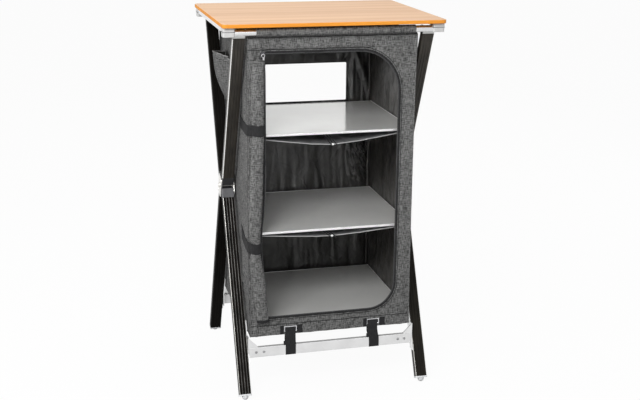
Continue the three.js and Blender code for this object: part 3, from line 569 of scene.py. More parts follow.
for end, face, body, _, tilt in ENDS:
    middle = (0, face * BAR_Y, BAR_Z)
    tube = rod(f"top_tube_{end}", BAR_R, 2 * BAR_HALF, middle, ACROSS, 56)
    pick(tube, "FACE", lambda disc: abs(disc.normal.x) > 0.9)
    bpy.ops.mesh.inset(thickness=TUBE_WALL)
    for sign in (-1, 1):
        pick(tube, "FACE", lambda disc: disc.normal.x * sign > 0.9 and len(disc.verts) > 10)
        inward = (-sign * TUBE_HOLLOW, 0, 0)
        bpy.ops.mesh.extrude_region_move(TRANSFORM_OT_translate={"value": inward})
    smooth(tube)
    fit(tube, [tube_alloy], body, "silver", f"top_bar_{end}")
    for side, sign in SIDES:
        saddle = bar_stock(
            f"leg_saddle_{end}_{side}",
            (-LEG_HALF_WIDTH, face * LEG_OFFSET - SADDLE_Y, UPPER_TOP + SADDLE_LOW),
            (LEG_HALF_WIDTH, face * LEG_OFFSET + SADDLE_Y, UPPER_TOP + SADDLE_HIGH),
            (0.0014, 3),
        )
        saddle.data.transform(in_frame(tilt, sign * LEG_X))
        fit(saddle, [saddle_alloy], body, "silver")
        x, y, top = sign * TUBE_BOLT_X, face * BAR_Y, BAR_Z + BAR_R
        bolt = start(
            f"tube_bolt_{end}_{side}", bpy.ops.mesh.primitive_uv_sphere_add, segments=20,
            ring_count=10, radius=TUBE_BOLT_R, scale=(1, 1, 0.6), location=(x, y, top - 0.0003),
        )
        pick(bolt, "VERT", lambda point: point.co.z > top + DOME_FLAT)
        bpy.ops.transform.resize(value=(1.2, 1.2, 0), center_override=(x, y, top + 0.0014))
        smooth(bolt)
        fit(bolt, [dark_steel], body, "silver")

# --- Bottom bars ---
# Flat satin box bars between the lower half-legs. Two cross-head screws at each end hold them
# on the tongues of sheet alloy brackets, whose gussets stand up beside the legs.
SCREWS = {"front": (-0.2155, -0.1936, 0.1955, 0.2150), "rear": (-0.2150, -0.1955, 0.1936, 0.2155)}
SCREW_Z, SCREW_R, SCREW_HEIGHT, SCREW_OUT = 0.119, 0.0036, 0.0018, 0.0007
RECESS_LONG, RECESS_WIDE, RECESS_HALF, RECESS_OUT = 0.0021, 0.0005, 0.002, 0.0022
FORWARD = (math.pi / 2, 0, 0)
bar_alloy = satin_metal("bar_alloy", (0.76, 0.76, 0.76), 0.58, (15, 1200, 1200), 0.7)
bracket_alloy = satin_metal("bracket_alloy", (0.8, 0.8, 0.8), 0.38, (1200, 1200, 20))


def cross_screw(name, x, y, face):
    """A pan-head screw with a cross recess, facing the front or the back."""
    head = rod(name, SCREW_R, SCREW_HEIGHT, (x, y, SCREW_Z), FORWARD, 28)
    round_edges(head, 0.0009, 3, lambda edge: edge.calc_face_angle(0) > 1 and all(
        point.co.y * face > y * face for point in edge.verts))
    cross = joined(*[
        block(
            f"{name}_slot", (x - a, y - RECESS_HALF, SCREW_Z - b),
            (x + a, y + RECESS_HALF, SCREW_Z + b),
        )
        for a, b in ((RECESS_LONG, RECESS_WIDE), (RECESS_WIDE, RECESS_LONG))
    ])
    cross.data.transform(
        Matrix.Translation((x, face * RECESS_OUT, SCREW_Z))
        @ Matrix.Rotation(0.5 + 20 * x, 4, "Y") @ Matrix.Translation((-x, 0, -SCREW_Z))
    )
    cut = head.modifiers.new("recess", "BOOLEAN")
    cut.operation, cut.object, cut.use_self = "DIFFERENCE", cross, True
    alone(head)
    bpy.ops.object.modifier_apply(modifier=cut.name)
    bpy.data.objects.remove(cross)
    smooth(head)
    return head


for end, face, _, body, _ in ENDS:
    low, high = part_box(f"bottom_bar_{end}")
    bar = bar_stock(f"box_bar_{end}", low, high, (0.0014, 3, along(0, 0.1)))
    fit(bar, [bar_alloy], body, "silver", f"bottom_bar_{end}")
    outside = low.y if face < 0 else high.y
    for number, x in enumerate(SCREWS[end]):
        screw = cross_screw(f"bar_screw_{end}_{number}", x, outside + face * SCREW_OUT, face)
        fit(screw, [dark_steel], body, "silver")
    for side, _ in SIDES:
        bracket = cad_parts[f"bar_bracket_{end}_{side}"]
        bracket.data.materials.clear()
        bracket.data.materials.append(bracket_alloy)

# --- Rear wall ---
# Grey heather polyester with a black coated inside, sewn to a sleeve round the rear top bar.
# A window with rounded corners is cut out above the upper shelf and bound with black tape.
# The slack cloth gathers in short pleats behind the middle compartment.
WALL_X, WALL_THICK, SINGLE_THICK = 0.231, 0.0025, 0.0014
REAR_Y, CLOTH_LOW, CLOTH_HIGH = 0.2145, 0.164, 0.991
SLEEVE_R, SLEEVE_SEAM, REAR_SLEEVE_X = 0.0113, 0.989, 0.216
SEAM_X, SEAM_R, BINDING_R = 0.229, 0.0014, 0.0015
WINDOW_X, WINDOW_LOW, WINDOW_HIGH = 0.154, 0.7315, 0.849
HEADER_Z, SLEEVE_Z, VALANCE_Z = 0.9615, 0.9885, 0.1950
DEEPEST_FOLD = 0.0105
PLEATS_AT, PLEATS_REACH = (0.206, 0.565), (0.055, 0.12)


def facing_front(r, c, point):
    """The place on the flat cloth of a point on a sheet that faces forward or back."""
    return point.x, point.z


def cloth(name, rows, finishes, thickness, body, slot, *nodes, weave=facing_front, wrap=False):
    """Cloth from rows of points, with its thickness behind it and weave giving each point's
    place on the flat cloth in metres. The second finish is for the lining."""
    across = len(rows[0])
    faces = [
        (r * across + c, r * across + (c + 1) % across,
         (r + 1) * across + (c + 1) % across, (r + 1) * across + c)
        for r in range(len(rows) - 1) for c in range(across if wrap else across - 1)
    ]
    mesh = bpy.data.meshes.new(name)
    mesh.from_pydata([point for row in rows for point in row], [], faces)
    flat = mesh.uv_layers.new(name="weave")
    for loop in mesh.loops:
        index = loop.vertex_index
        flat.data[loop.index].uv = weave(index // across, index % across, mesh.vertices[index].co)
    piece = bpy.data.objects.new(name, mesh)
    scene.collection.objects.link(piece)
    fit(piece, finishes, body, slot, *nodes)
    thick = piece.modifiers.new("thickness", "SOLIDIFY")
    thick.thickness, thick.offset, thick.use_even_offset = thickness, -1, False
    thick.material_offset = min(1, len(finishes) - 1)
    alone(piece)
    bpy.ops.object.modifier_apply(modifier=thick.name)
    smooth(piece, 50)
    return piece


def ridges(u, v, seed):
    """Creases as a height from 0 to 1, along lines where a soft noise changes sign."""
    return max(0.0, 1 - 5.5 * abs(noise.noise(Vector((u, v, seed)))))


def steps(first, last, count):
    """Even steps from first to last, both of them included."""
    return [first + (last - first) * i / count for i in range(count + 1)]


def part_way(here, there, share):
    """The place a share of the way from one place in a plane to another."""
    return here[0] + (there[0] - here[0]) * share, here[1] + (there[1] - here[1]) * share


def lengths_along(places):
    """How far along a line of places each one lies."""
    lengths = [0.0]
    for here, there in zip(places, places[1:]):
        lengths.append(lengths[-1] + math.dist(here, there))
    return lengths


def rounded(left, right, low, high, radii, step):
    """Points round a rectangle, with radii for its corners in the order that it runs: lower
    left, lower right, upper right, upper left."""
    corners = ((left, low, 180), (right, low, 270), (right, high, 0), (left, high, 90))
    points = []
    for (x, z, turn), radius in zip(corners, radii):
        centre_x = x + (radius if x == left else -radius)
        centre_z = z + (radius if z == low else -radius)
        arc = [math.radians(a) for a in steps(turn, turn + 90, 12)]
        points += [(centre_x + radius * math.cos(a), centre_z + radius * math.sin(a)) for a in arc]
    filled = []
    for here, there in zip(points, points[1:] + points[:1]):
        parts = max(1, round(math.dist(here, there) / step))
        filled += [part_way(here, there, i / parts) for i in range(parts)]
    return filled


def framed_opening(outline, rings):
    """Rings of points from an opening's outline out to the edges of the panel round it."""
    centre_x = sum(x for x, _ in outline) / len(outline)
    centre_z = (min(z for _, z in outline) + max(z for _, z in outline)) / 2
    edge = []
    for x, z in outline:
        dx, dz = x - centre_x, z - centre_z
        reach = min(
            (math.copysign(WALL_X, dx) - centre_x) / dx if abs(dx) > 1e-9 else 1e9,
            ((CLOTH_HIGH if dz > 0 else CLOTH_LOW) - centre_z) / dz if abs(dz) > 1e-9 else 1e9,
        )
        edge.append((centre_x + dx * reach, centre_z + dz * reach))
    for corner in ((x, z) for x in (-WALL_X, WALL_X) for z in (CLOTH_LOW, CLOTH_HIGH)):
        edge[min(range(len(edge)), key=lambda i: math.dist(edge[i], corner))] = corner
    return [[part_way(a, b, t) for a, b in zip(outline, edge)] for t in steps(0, 1, rings)]


def creased(finish, stretch, width):
    """Creases as a height from 0 to 1, along lines where a slow noise passes its middle value."""
    apart = maths(finish, "SUBTRACT", grain(finish, stretch, 2, "UV"), 0.5)
    away = maths(finish, "ABSOLUTE", apart)
    return ranged(finish, away, 0.0, width, 1.0, 0.0, interpolation_type="SMOOTHSTEP")


def heights(finish, *layers):
    """Adds up layers of (pattern, metres) and lets the sum bend the light."""
    total = 0.0
    for pattern, metres in layers:
        total = maths(finish, "ADD", total, maths(finish, "MULTIPLY", pattern, metres))
    bumped(finish, total, 1.0, 1.0)


def heather(name, dark, light):
    """Melange polyester: streaks of dark and pale yarn both ways and a fine bumpy weave."""
    finish = new_finish(name, light, 0.88, Specular_IOR_Level=0.25)
    weft = grain(finish, (70, 480, 1), 3, "UV")
    warp = grain(finish, (480, 70, 1), 3, "UV")
    cloud = grain(finish, (14, 14, 1), 4, "UV")
    slack = grain(finish, (6, 2.2, 1), 1, "UV")
    streaks = maths(finish, "ADD", weft, warp)
    yarn = mixed(finish, 0.15, ranged(finish, streaks, 0.6, 1.4), cloud)
    toned(finish, yarn, dark, light, cloud, 0.92, 0.82)
    heights(
        finish, (streaks, 0.0003), (creased(finish, (8, 3, 1), 0.09), 0.0024),
        (creased(finish, (5, 9, 1), 0.06), 0.0012), (cloud, 0.0050), (slack, 0.016),
    )
    return finish


def pleats(finish, spot, reach):
    """Short sharp pleats, slanting down to the right, that fade out away from a spot."""
    where = finish.node_tree.nodes.new("ShaderNodeTexCoord").outputs["UV"]
    slanted = add(finish, "Mapping", {
        "Vector": where, "Rotation": (0, 0, 0.45), "Scale": (0.012, 0.036, 1),
    }, vector_type="TEXTURE")
    sharp = add(finish, "TexNoise", {"Vector": slanted, "Scale": 1.0, "Detail": 2})
    centred = add(finish, "Mapping", {
        "Vector": where, "Location": (*spot, 0), "Scale": (*reach, 1),
    }, vector_type="TEXTURE")
    near = add(finish, "TexGradient", {"Vector": centred}, gradient_type="SPHERICAL")
    return maths(finish, "MULTIPLY", sharp, near)


def coated(name, dark, light, roughness, stretch=(17, 2.2, 1), depth=0.014, pleated=0.0):
    """Black coated cloth: it hangs in soft upright folds that catch the light."""
    finish = new_finish(name, light, roughness)
    creases = grain(finish, (28, 20, 1), 5, "UV")
    fine = grain(finish, (1300, 1300, 1), 1, "UV")
    folds = grain(finish, stretch, 2, "UV")
    toned(finish, creases, dark, light, creases, roughness + 0.1, roughness - 0.05)
    layers = [
        (creases, 0.0022), (fine, 0.00012), (folds, depth),
        (creased(finish, (11, 2.5, 1), 0.10), 0.0018),
        (creased(finish, (15, 12, 1), 0.07), 0.0005),
    ]
    if pleated:
        layers.append((pleats(finish, PLEATS_AT, PLEATS_REACH), pleated))
    heights(finish, *layers)
    return finish


def webbing(name, dark, light):
    """Ribbed black polyester tape."""
    finish = new_finish(name, light, 0.75, Specular_IOR_Level=0.3)
    ribs = grain(finish, (1100, 90, 1), 2, "UV")
    toned(finish, ribs, dark, light, ribs, 0.85, 0.65)
    bumped(finish, ribs, 0.0005, 0.6)
    return finish


def piping(name, points, radius, finish, body, slot="black_fabric", closed=False):
    """A thin sewn cord along a line of points."""
    line = bpy.data.curves.new(name, "CURVE")
    line.dimensions, line.bevel_depth, line.bevel_resolution = "3D", radius, 2
    line.use_fill_caps = True
    spline = line.splines.new("POLY")
    spline.points.add(len(points) - 1)
    for knot, place in zip(spline.points, points):
        knot.co = (*place, 1)
    spline.use_cyclic_u = closed
    piece = bpy.data.objects.new(name, line)
    scene.collection.objects.link(piece)
    alone(piece)
    bpy.ops.object.convert(target="MESH")
    piece = bpy.context.object
    flat = piece.data.uv_layers.active or piece.data.uv_layers.new(name="weave")
    for loop in piece.data.loops:
        spot = piece.data.vertices[loop.vertex_index].co
        flat.data[loop.index].uv = (spot.x + spot.y, spot.z)
    smooth(piece, 60)
    return fit(piece, [finish], body, slot)


def sleeve(name, face, left, right, body):
    """The sleeve round a top bar, which narrows to the seam under it."""
    profile = [(face * (REAR_Y + 0.0004), SLEEVE_SEAM)]
    for turn in steps(-50, 200, 32):
        out, up = math.cos(math.radians(turn)), math.sin(math.radians(turn))
        profile.append((face * (BAR_Y + SLEEVE_R * out), BAR_Z + SLEEVE_R * up))
    profile.append((face * (REAR_Y - 0.0022), SLEEVE_SEAM + 0.001))
    lengths = lengths_along(profile)
    spots = steps(left, right, 60)[::-face]
    rows = [[(x, y + 0.0006 * (ridges(x * 14, k * 0.2, 3.0) - 0.3), z) for x in spots]
            for k, (y, z) in enumerate(profile)]
    piece = cloth(
        name, rows, [heather_grey, coated_black], SINGLE_THICK, body, "grey_fabric",
        weave=lambda r, c, point: (spots[c], lengths[r]),
    )


def rear_relief(x, z):
    """Folds hang from the rear corners, and gather where the middle compartment is slack."""
    slack = min(1.0, (WALL_X - abs(x)) / 0.015) * min(1.0, max(0.0, (CLOTH_HIGH - z) / 0.04))
    corner = math.exp(-((abs(x) - 0.200) / 0.035) ** 2)
    gather = math.exp(-((x - 0.205) / 0.035) ** 2 - ((z - 0.585) / 0.075) ** 2)
    outside = max(abs(x) - WINDOW_X, WINDOW_LOW + 0.001 - z, z - WINDOW_HIGH)
    strip = math.exp(-((abs(x) - 0.186) / 0.022) ** 2)
    folds = 0.0062 * ridges(x * 12 + z * 4.5, z * 1.8, 7.3) * (0.35 + corner)
    folds += 0.0078 * gather * ridges(x * 26 - z * 9, z * 15, 3.7)
    folds += 0.0050 * strip * ridges(x * 34 + z * 2.5, z * 2.2, 1.1)
    folds += 0.0030 * noise.noise(Vector((x * 11, z * 4, 2)))
    folds = DEEPEST_FOLD * math.tanh(max(-0.002, folds) / DEEPEST_FOLD)
    return slack * (0.15 + 0.85 * min(1.0, max(0.0, outside) / 0.02)) * folds


heather_grey = heather("heather_grey", (0.038, 0.038, 0.037), (0.2, 0.2, 0.198))
coated_black = coated("coated_black", (0.010, 0.0095, 0.009), (0.026, 0.025, 0.023), 0.36)
coated_rear = coated(
    "coated_rear", (0.010, 0.0095, 0.009), (0.026, 0.025, 0.023), 0.36, depth=0.010, pleated=0.045,
)
black_tape = webbing("black_tape", (0.004, 0.004, 0.0045), (0.015, 0.015, 0.016))
WINDOW = rounded(-WINDOW_X, WINDOW_X, WINDOW_LOW, WINDOW_HIGH, (0.005,) * 4, 0.006)
rear_rows = [
    [(x, REAR_Y + 0.0008 - rear_relief(x, z), z) for x, z in ring]
    for ring in framed_opening(WINDOW, 60)
]
rear_wall = cloth(
    "rear_cloth", rear_rows, [heather_grey, coated_rear], WALL_THICK, "cabinet", "grey_fabric",
    "rear_wall", wrap=True,
)
for seam, z in (("header", HEADER_Z), ("sleeve", SLEEVE_Z), ("valance", VALANCE_Z)):
    course = [(x, REAR_Y + 0.0012 - rear_relief(x, z), z) for x in steps(-SEAM_X, SEAM_X, 40)]
    piping(f"rear_seam_{seam}", course, SEAM_R, heather_grey, "cabinet", "grey_fabric")
sleeve("rear_sleeve", 1, -REAR_SLEEVE_X, REAR_SLEEVE_X, "cabinet")
binding = [(x, REAR_Y - 0.001, z) for x, z in WINDOW]
piping("window_binding", binding, BINDING_R, black_tape, "cabinet", closed=True)

# --- Side walls, roof and floor ---
# The same heather cloth on both sides, creased where it hangs slack, sewn with a thick seam at
# the four upright corners. Roof and floor are single panels of the black coated cloth.
FRONT_Y, ROOF_Z, FLOOR_Z = -0.2145, 0.991, 0.1937
ROOF_HALF, ROOF_SAG, FLOOR_HALF, FLOOR_SAG = (0.2283, 0.2118), 0.006, (0.2280, 0.2118), 0.0012
CORNER_X, CORNER_Y, CORNER_SEAM_R, STITCH_R = 0.2312, 0.2138, 0.0016, 0.0008
INNER_SEAM_X, INNER_SEAM_Y, INNER_SEAM_R = 0.2250, 0.2090, 0.0030
# The inside of the side walls: a lighter copy of the black coated lining, painted light where the
# lamps reach the walls. The inner corner seams use it as a painted highlight.
coated_side = coated(
    "coated_side", (0.034, 0.032, 0.030), (0.074, 0.069, 0.064), 0.36, (9, 5, 1), 0.010,
)


def facing_aside(r, c, point):
    """The place on the flat cloth of a point on a sheet that faces left or right."""
    return point.y, point.z


def lying(r, c, point):
    """The place on the flat cloth of a point on a level sheet."""
    return point.x, point.y


def gathered(piece):
    """Gives a piece of cloth a mesh of its own."""
    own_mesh(piece)


def drawn_in(z):
    """How far the right front corner is pulled in at a height."""
    share = min(1.0, max(0.0, (z - CLOTH_LOW) / 0.80))
    return 0.0028 + 0.0034 * math.sqrt(max(0.0, math.sin(math.pi * share)))


def side_relief(y, z, seed):
    """How far the side wall stands out: slack between its seams, pulled flat by the pivots."""
    edge = min(1.0, (REAR_Y - abs(y)) / 0.05)
    end = min(1.0, (z - CLOTH_LOW) / 0.05, (CLOTH_HIGH - z) / 0.03)
    pivot = 1 - math.exp(-(((z - HUB.z + 0.022) / 0.065) ** 4))
    pocket = 1 - math.exp(-(((y - 0.05) / 0.09) ** 4 + ((z - 0.835) / 0.09) ** 4))
    slant = y * 0.8 + z
    fold = 0.0042 * ridges(slant * 5.4, (z - y) * 2.2, seed)
    fold += 0.0024 * ridges(y * 14 + z * 3, z * 4, seed + 9)
    return max(0.0, edge * end * pivot * pocket * fold)


def level_cloth(name, node, z, half_x, half_y, sag, seed):
    """A single panel that sags in the middle, with faint creases."""
    rows = [
        [
            (x, y, z - sag * max(0.0, 1 - (x / half_x) ** 2) * max(0.0, 1 - (y / half_y) ** 2)
             - 0.0012 * ridges(x * 6, y * 6, seed))
            for x in steps(-half_x, half_x, 50)
        ]
        for y in steps(-half_y, half_y, 50)
    ]
    piece = cloth(
        name, rows, [coated_black], SINGLE_THICK, "cabinet", "black_fabric", node, weave=lying,
    )
    return piece


for side, sign in SIDES:
    rows = []
    for z in steps(CLOTH_LOW, CLOTH_HIGH, 110):
        row = []
        for y in steps(FRONT_Y, REAR_Y, 56):
            turned = max(0.0, (-y - 0.197) / 0.0175) * drawn_in(z) * (sign > 0)
            row.append((sign * (WALL_X + side_relief(y, z, 3.1 + sign) - turned), y, z))
        rows.append(row[::sign])
    # The side wall's inside takes the lighter copy of the lining, with painted light.
    wall = cloth(
        f"side_cloth_{side}", rows, [heather_grey, coated_side], WALL_THICK, "cabinet",
        "grey_fabric", f"side_wall_{side}", weave=facing_aside,
    )
    gathered(wall)
    # Inner corner seams in the lighter lining: a painted highlight along each seam.
    inside = [
        (sign * (INNER_SEAM_X + 0.0009 * math.sin(0.9 * i)), INNER_SEAM_Y, z)
        for i, z in enumerate(steps(CLOTH_LOW + 0.035, 0.985, 30))
    ]
    piping(f"inner_seam_{side}", inside, INNER_SEAM_R, coated_side, "cabinet")
    levels = steps(CLOTH_LOW, SLEEVE_SEAM, 30)
    for corner, y, body in (("rear", CORNER_Y, "cabinet"), ("front", -CORNER_Y, "front_curtain")):
        pulled = (side, corner) == ("right", "front")
        piping(
            f"corner_seam_{corner}_{side}",
            [(sign * CORNER_X - drawn_in(z) * pulled, y, z) for z in levels],
            CORNER_SEAM_R, heather_grey, body, "grey_fabric",
        )
        if not pulled:
            stitched = [(sign * (CORNER_X + 0.0004), y * 0.965, z) for z in levels]
            piping(f"corner_stitch_{corner}_{side}", stitched, STITCH_R, black_tape, body)
roof = level_cloth("roof_cloth", "roof_panel", ROOF_Z - 0.0006, *ROOF_HALF, ROOF_SAG, 5.0)
gathered(roof)
floor_cloth = level_cloth("floor_cloth", "floor_panel", FLOOR_Z, *FLOOR_HALF, FLOOR_SAG, 8.0)
gathered(floor_cloth)

# --- Shelves ---
# Laminated boards with a satin grey face, edged at the front with a bright alloy strip. The
# upper two have a cloth sling below that hangs slack from its sides, with a hemmed edge.
SHELVES = {"upper": 0.729, "middle": 0.458, "lower": 0.200}
SHELF_X, SHELF_Y, SHELF_THICK = 0.2282, 0.196, 0.006
BEHIND_STRIP, STRIP_DEEP, STRIP_PROUD = 0.0022, 0.0026, 0.0003
LIP_THIN, LIP_WIDE, LIP_BELOW, LIP_ABOVE = 0.0016, 0.0026, 0.0016, 0.0009
SLING_X, SLING_Y, SLING_SAG = 0.222, 0.190, {"upper": 0.0235, "middle": 0.0115}
SLING_THICK, SLINGS_PACKED, HEM_R, CORD_R = 0.0012, 0.08, 0.0013, 0.0012
HOOK_X, HOOK_OUT, HOOK_R, HOOK_WIRE = 0.005, 0.0022, 0.0021, 0.0012
shelf_face = new_finish("shelf_face", (0.84, 0.84, 0.82), 0.14, metallic=0.36)
shelf_cloud = grain(shelf_face, (7, 7, 7), 4)
toned(shelf_face, shelf_cloud, (0.80, 0.80, 0.78), (0.87, 0.87, 0.85), shelf_cloud, 0.17, 0.11)
bumped(shelf_face, grain(shelf_face, (900, 900, 900)), 0.00005, 0.3)
edge_alloy = satin_metal("edge_alloy", (0.86, 0.86, 0.86), 0.3, (20, 900, 900), 0.45)
lip_alloy = satin_metal("lip_alloy", (0.42, 0.42, 0.42), 0.35, (20, 900, 900))
# The slings are black coated cloth painted a lighter grey, painted light where they hang in shade.
sling_cloth = coated("sling_cloth", (0.075, 0.075, 0.077), (0.15, 0.15, 0.153), 0.45)
# The hem binding is painted light grey, a painted highlight along the sling's hem.
sling_binding = coated("sling_binding", (0.30, 0.30, 0.30), (0.44, 0.44, 0.44), 0.4)


def hoop(name, radius, wire_r, place, direction, around=24, across=12):
    """A ring of round wire, as a start."""
    return start(
        name, bpy.ops.mesh.primitive_torus_add, major_radius=radius, minor_radius=wire_r,
        major_segments=around, minor_segments=across, location=place, rotation=direction,
    )


def sling_height(x, y, top, sag):
    """The height of a sling's cloth, which hangs from the shelf's sides."""
    slack = 1 - abs(x / SLING_X) ** 1.35
    return (top - sag * slack - 0.004 * slack * (abs(y) / SLING_Y) ** 4
            - 0.0012 * slack * ridges(x * 8, y * 9, top))


for level, top in SHELVES.items():
    body, under = f"{level}_shelf", top - SHELF_THICK
    lip_low, lip_high = top - LIP_BELOW, top + LIP_ABOVE
    for name, low, high, rounding, finish, nodes in (
        (f"board_{level}", (-SHELF_X, -SHELF_Y + BEHIND_STRIP, under), (SHELF_X, SHELF_Y, top),
         (0.0007, 2), shelf_face, [f"shelf_{level}"]),
        (f"edge_strip_{level}", (-SHELF_X, -SHELF_Y, under - STRIP_PROUD),
         (SHELF_X, -SHELF_Y + STRIP_DEEP, top + STRIP_PROUD), (0.0009, 3), edge_alloy, []),
        (f"edge_lip_{level}_left", (-SHELF_X, -SHELF_Y, lip_low),
         (-SHELF_X + LIP_THIN, SHELF_Y, lip_high), (0.0005, 2), edge_alloy, []),
        (f"edge_lip_{level}_right", (SHELF_X - LIP_WIDE, -SHELF_Y, lip_low),
         (SHELF_X, SHELF_Y, lip_high), (0.0005, 2), edge_alloy, []),
        (f"edge_lip_{level}_rear", (-SHELF_X, SHELF_Y - LIP_THIN, lip_low),
         (SHELF_X, SHELF_Y, lip_high), (0.0005, 2), lip_alloy, []),
    ):
        fit(bar_stock(name, low, high, rounding), [finish], body, "shelf_board", *nodes)
    if level not in SLING_SAG:
        continue
    hang, sag = under - 0.002, SLING_SAG[level]
    rows = [
        [(x, y, sling_height(x, y, hang, sag)) for x in steps(-SLING_X, SLING_X, 60)]
        for y in steps(-SLING_Y, SLING_Y, 52)
    ]
    # The sling takes the lighter copy of the coated cloth, with painted light.
    sling = cloth(
        f"sling_cloth_{level}", rows, [sling_cloth], SLING_THICK, body, "black_fabric",
        f"shelf_sling_{level}", weave=lying,
    )
    front_edge = [
        (x, -SLING_Y, sling_height(x, -SLING_Y, hang, sag) - 0.0004)
        for x in steps(-SLING_X, SLING_X, 80)
    ]
    # The hem takes the light grey binding, a painted highlight.
    hem = piping(f"sling_hem_{level}", front_edge, HEM_R, sling_binding, body)
    foot = sling_height(HOOK_X, -SLING_Y, hang, sag)
    place = (HOOK_X, -SLING_Y - HOOK_OUT, foot)
    hook = hoop(f"sling_hook_{level}", HOOK_R, HOOK_WIRE, place, FORWARD)
    smooth(hook)
    fit(hook, [edge_alloy], body, "silver")
    cords = [
        piping(
            f"sling_tie_{level}_{number}",
            [(0.009 + reach - 0.003 * i, -SLING_Y - 0.0012 - 0.0004 * math.sin(i),
              foot - 0.003 + (hang + 0.004 - foot) * i / 8) for i in range(9)],
            CORD_R, black_tape, body,
        )
        for number, reach in enumerate((-0.0075, 0.0, 0.0075))
    ]
    for piece in (sling, hem, hook, *cords):
        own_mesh(piece)

# --- Front panel ---
# The panel round the door, with a sleeve for the front top bar. Both right corners of the door
# are wide curves. Seams run under the sleeve, under the header, where two of them end short of
# its right, and above the bottom edge.
DOOR_LEFT, DOOR_RIGHT, DOOR_LOW, DOOR_HIGH = -0.186, 0.180, 0.219, 0.948
SEAM_LEFT, SEAM_RIGHT, SEAM_SHORT, STITCH_Z = -0.230, 0.224, 0.1105, 0.9568
SLEEVE_LEFT, SLEEVE_RIGHT, ROW_R = -0.210, 0.2185, 0.0009


def pulled_left(z):
    """How far the door's left edge is drawn aside, by the lower tie and at its top corner."""
    tie, corner = math.exp(-((z - 0.43) / 0.10) ** 2), math.exp(-((z - 0.948) / 0.03) ** 2)
    return 0.0125 * tie + 0.004 * corner


def front_relief(x, z):
    """Small creases all over, deeper at the bottom edge and in the strip left of the door."""
    edge = min(1.0, (WALL_X - abs(x)) / 0.02) * min(1.0, max(0.0, (CLOTH_HIGH - z) / 0.02))
    pull = ridges(x * 9 + z * 4, z * 6, 4.2) ** 1.5
    hem = math.exp(-((z - 0.185) / 0.03) ** 2) * ridges(x * 15 + z * 16, z * 4, 1.7)
    strip = math.exp(-((x + 0.212) / 0.016) ** 2) * (0.3 + ridges(x * 36 + z * 0.8, z * 1.5, 2.2))
    soft = noise.noise(Vector((x * 12, z * 8, 6)))
    return edge * (0.0022 * pull + 0.0034 * hem + 0.0028 * strip + 0.0008 * soft)


DOOR = [
    (x - pulled_left(z) * (x < -0.17), z)
    for x, z in rounded(
        DOOR_LEFT, DOOR_RIGHT, DOOR_LOW, DOOR_HIGH, (0.008, 0.075, 0.110, 0.008), 0.010,
    )
]
front_rows = [
    [
        (x - drawn_in(z) * max(0.0, (x - DOOR_RIGHT) / (WALL_X - DOOR_RIGHT)),
         FRONT_Y - max(-0.0002, front_relief(x, z)), z)
        for x, z in reversed(ring)
    ]
    for ring in framed_opening(DOOR, 16)
]
panel = cloth(
    "panel_cloth", front_rows, [heather_grey, coated_black], WALL_THICK, "front_curtain",
    "grey_fabric", "front_panel", wrap=True,
)
sleeve("front_sleeve", -1, SLEEVE_LEFT, SLEEVE_RIGHT, "front_curtain")
for seam, z, radius, finish, places in (
    ("header_upper", HEADER_Z, SEAM_R, heather_grey, steps(SEAM_LEFT, SEAM_SHORT, 30)),
    ("header_lower", STITCH_Z, ROW_R, black_tape, steps(SEAM_LEFT, SEAM_SHORT, 30)),
    ("sleeve", SLEEVE_Z, 0.0011, black_tape, steps(SEAM_LEFT, SEAM_RIGHT, 40)),
    ("valance", VALANCE_Z, ROW_R, black_tape, steps(SEAM_LEFT, SEAM_RIGHT, 40)),
):
    course = [(x, FRONT_Y - 0.0004 - front_relief(x, z), z) for x in places]
    piping(f"seam_{seam}", course, radius, finish, "front_curtain", "grey_fabric")

# --- Zip ---
# Black coil zip sewn all round the door: a narrow tape on the panel's edge and, at the very
# edge, half of the coil. Its slider stands at the top left, with a ring, a metal tab and a
# short cloth pull.
TAPE_THICK, COIL_R, DOOR_SEAM_OUT = 0.0008, 0.0014, 0.0095
SLIDER_X, SLIDER_FACE, SLIDER_Z = -0.1905, -0.2172, 0.9460
LOOP_R, LOOP_WIRE, RING_R, RING_WIRE = 0.0024, 0.0006, 0.0042, 0.0011
PULL_Y, PULL_LOW, PULL_LONG, PULL_THICK = -0.2180, 0.9150, 0.0130, 0.0010


def set_out(outline, distance):
    """An outline moved outward by a distance, away from the door."""
    moved = []
    for i, (x, z) in enumerate(outline):
        before, after = outline[i - 1], outline[(i + 1) % len(outline)]
        dx, dz = after[0] - before[0], after[1] - before[1]
        length = math.hypot(dx, dz)
        moved.append((x + dz / length * distance, z - dx / length * distance))
    return moved


tape_rows = [
    [(x, FRONT_Y - 0.0008 - front_relief(*place) - 0.0004 * (k == 1), z)
     for place, (x, z) in zip(DOOR, set_out(DOOR, reach))][::-1]
    for k, reach in enumerate((-0.0005, 0.0025, 0.0058))
]
cloth(
    "zip_tape", tape_rows, [black_tape], TAPE_THICK, "front_curtain", "black_fabric",
    weave=lambda r, c, point: (c * 0.010, r * 0.003), wrap=True,
)
door_seam = [
    (x, FRONT_Y - 0.0002 - front_relief(x, z), z) for x, z in set_out(DOOR, DOOR_SEAM_OUT)
]
piping("door_seam", door_seam, STITCH_R, black_tape, "front_curtain", closed=True)
zip_coil = new_finish("zip_coil", (0.03, 0.03, 0.031), 0.4)
teeth = grain(zip_coil, (1300, 1300, 1300), 1)
toned(zip_coil, teeth, (0.012, 0.012, 0.013), (0.06, 0.06, 0.062), teeth, 0.5, 0.35)
bumped(zip_coil, teeth, 0.0008, 0.8)
coil = [(x, FRONT_Y - 0.0008, z) for x, z in set_out(DOOR, -0.0008)]
piping("zip_coil", coil, COIL_R, zip_coil, "front_curtain", closed=True)

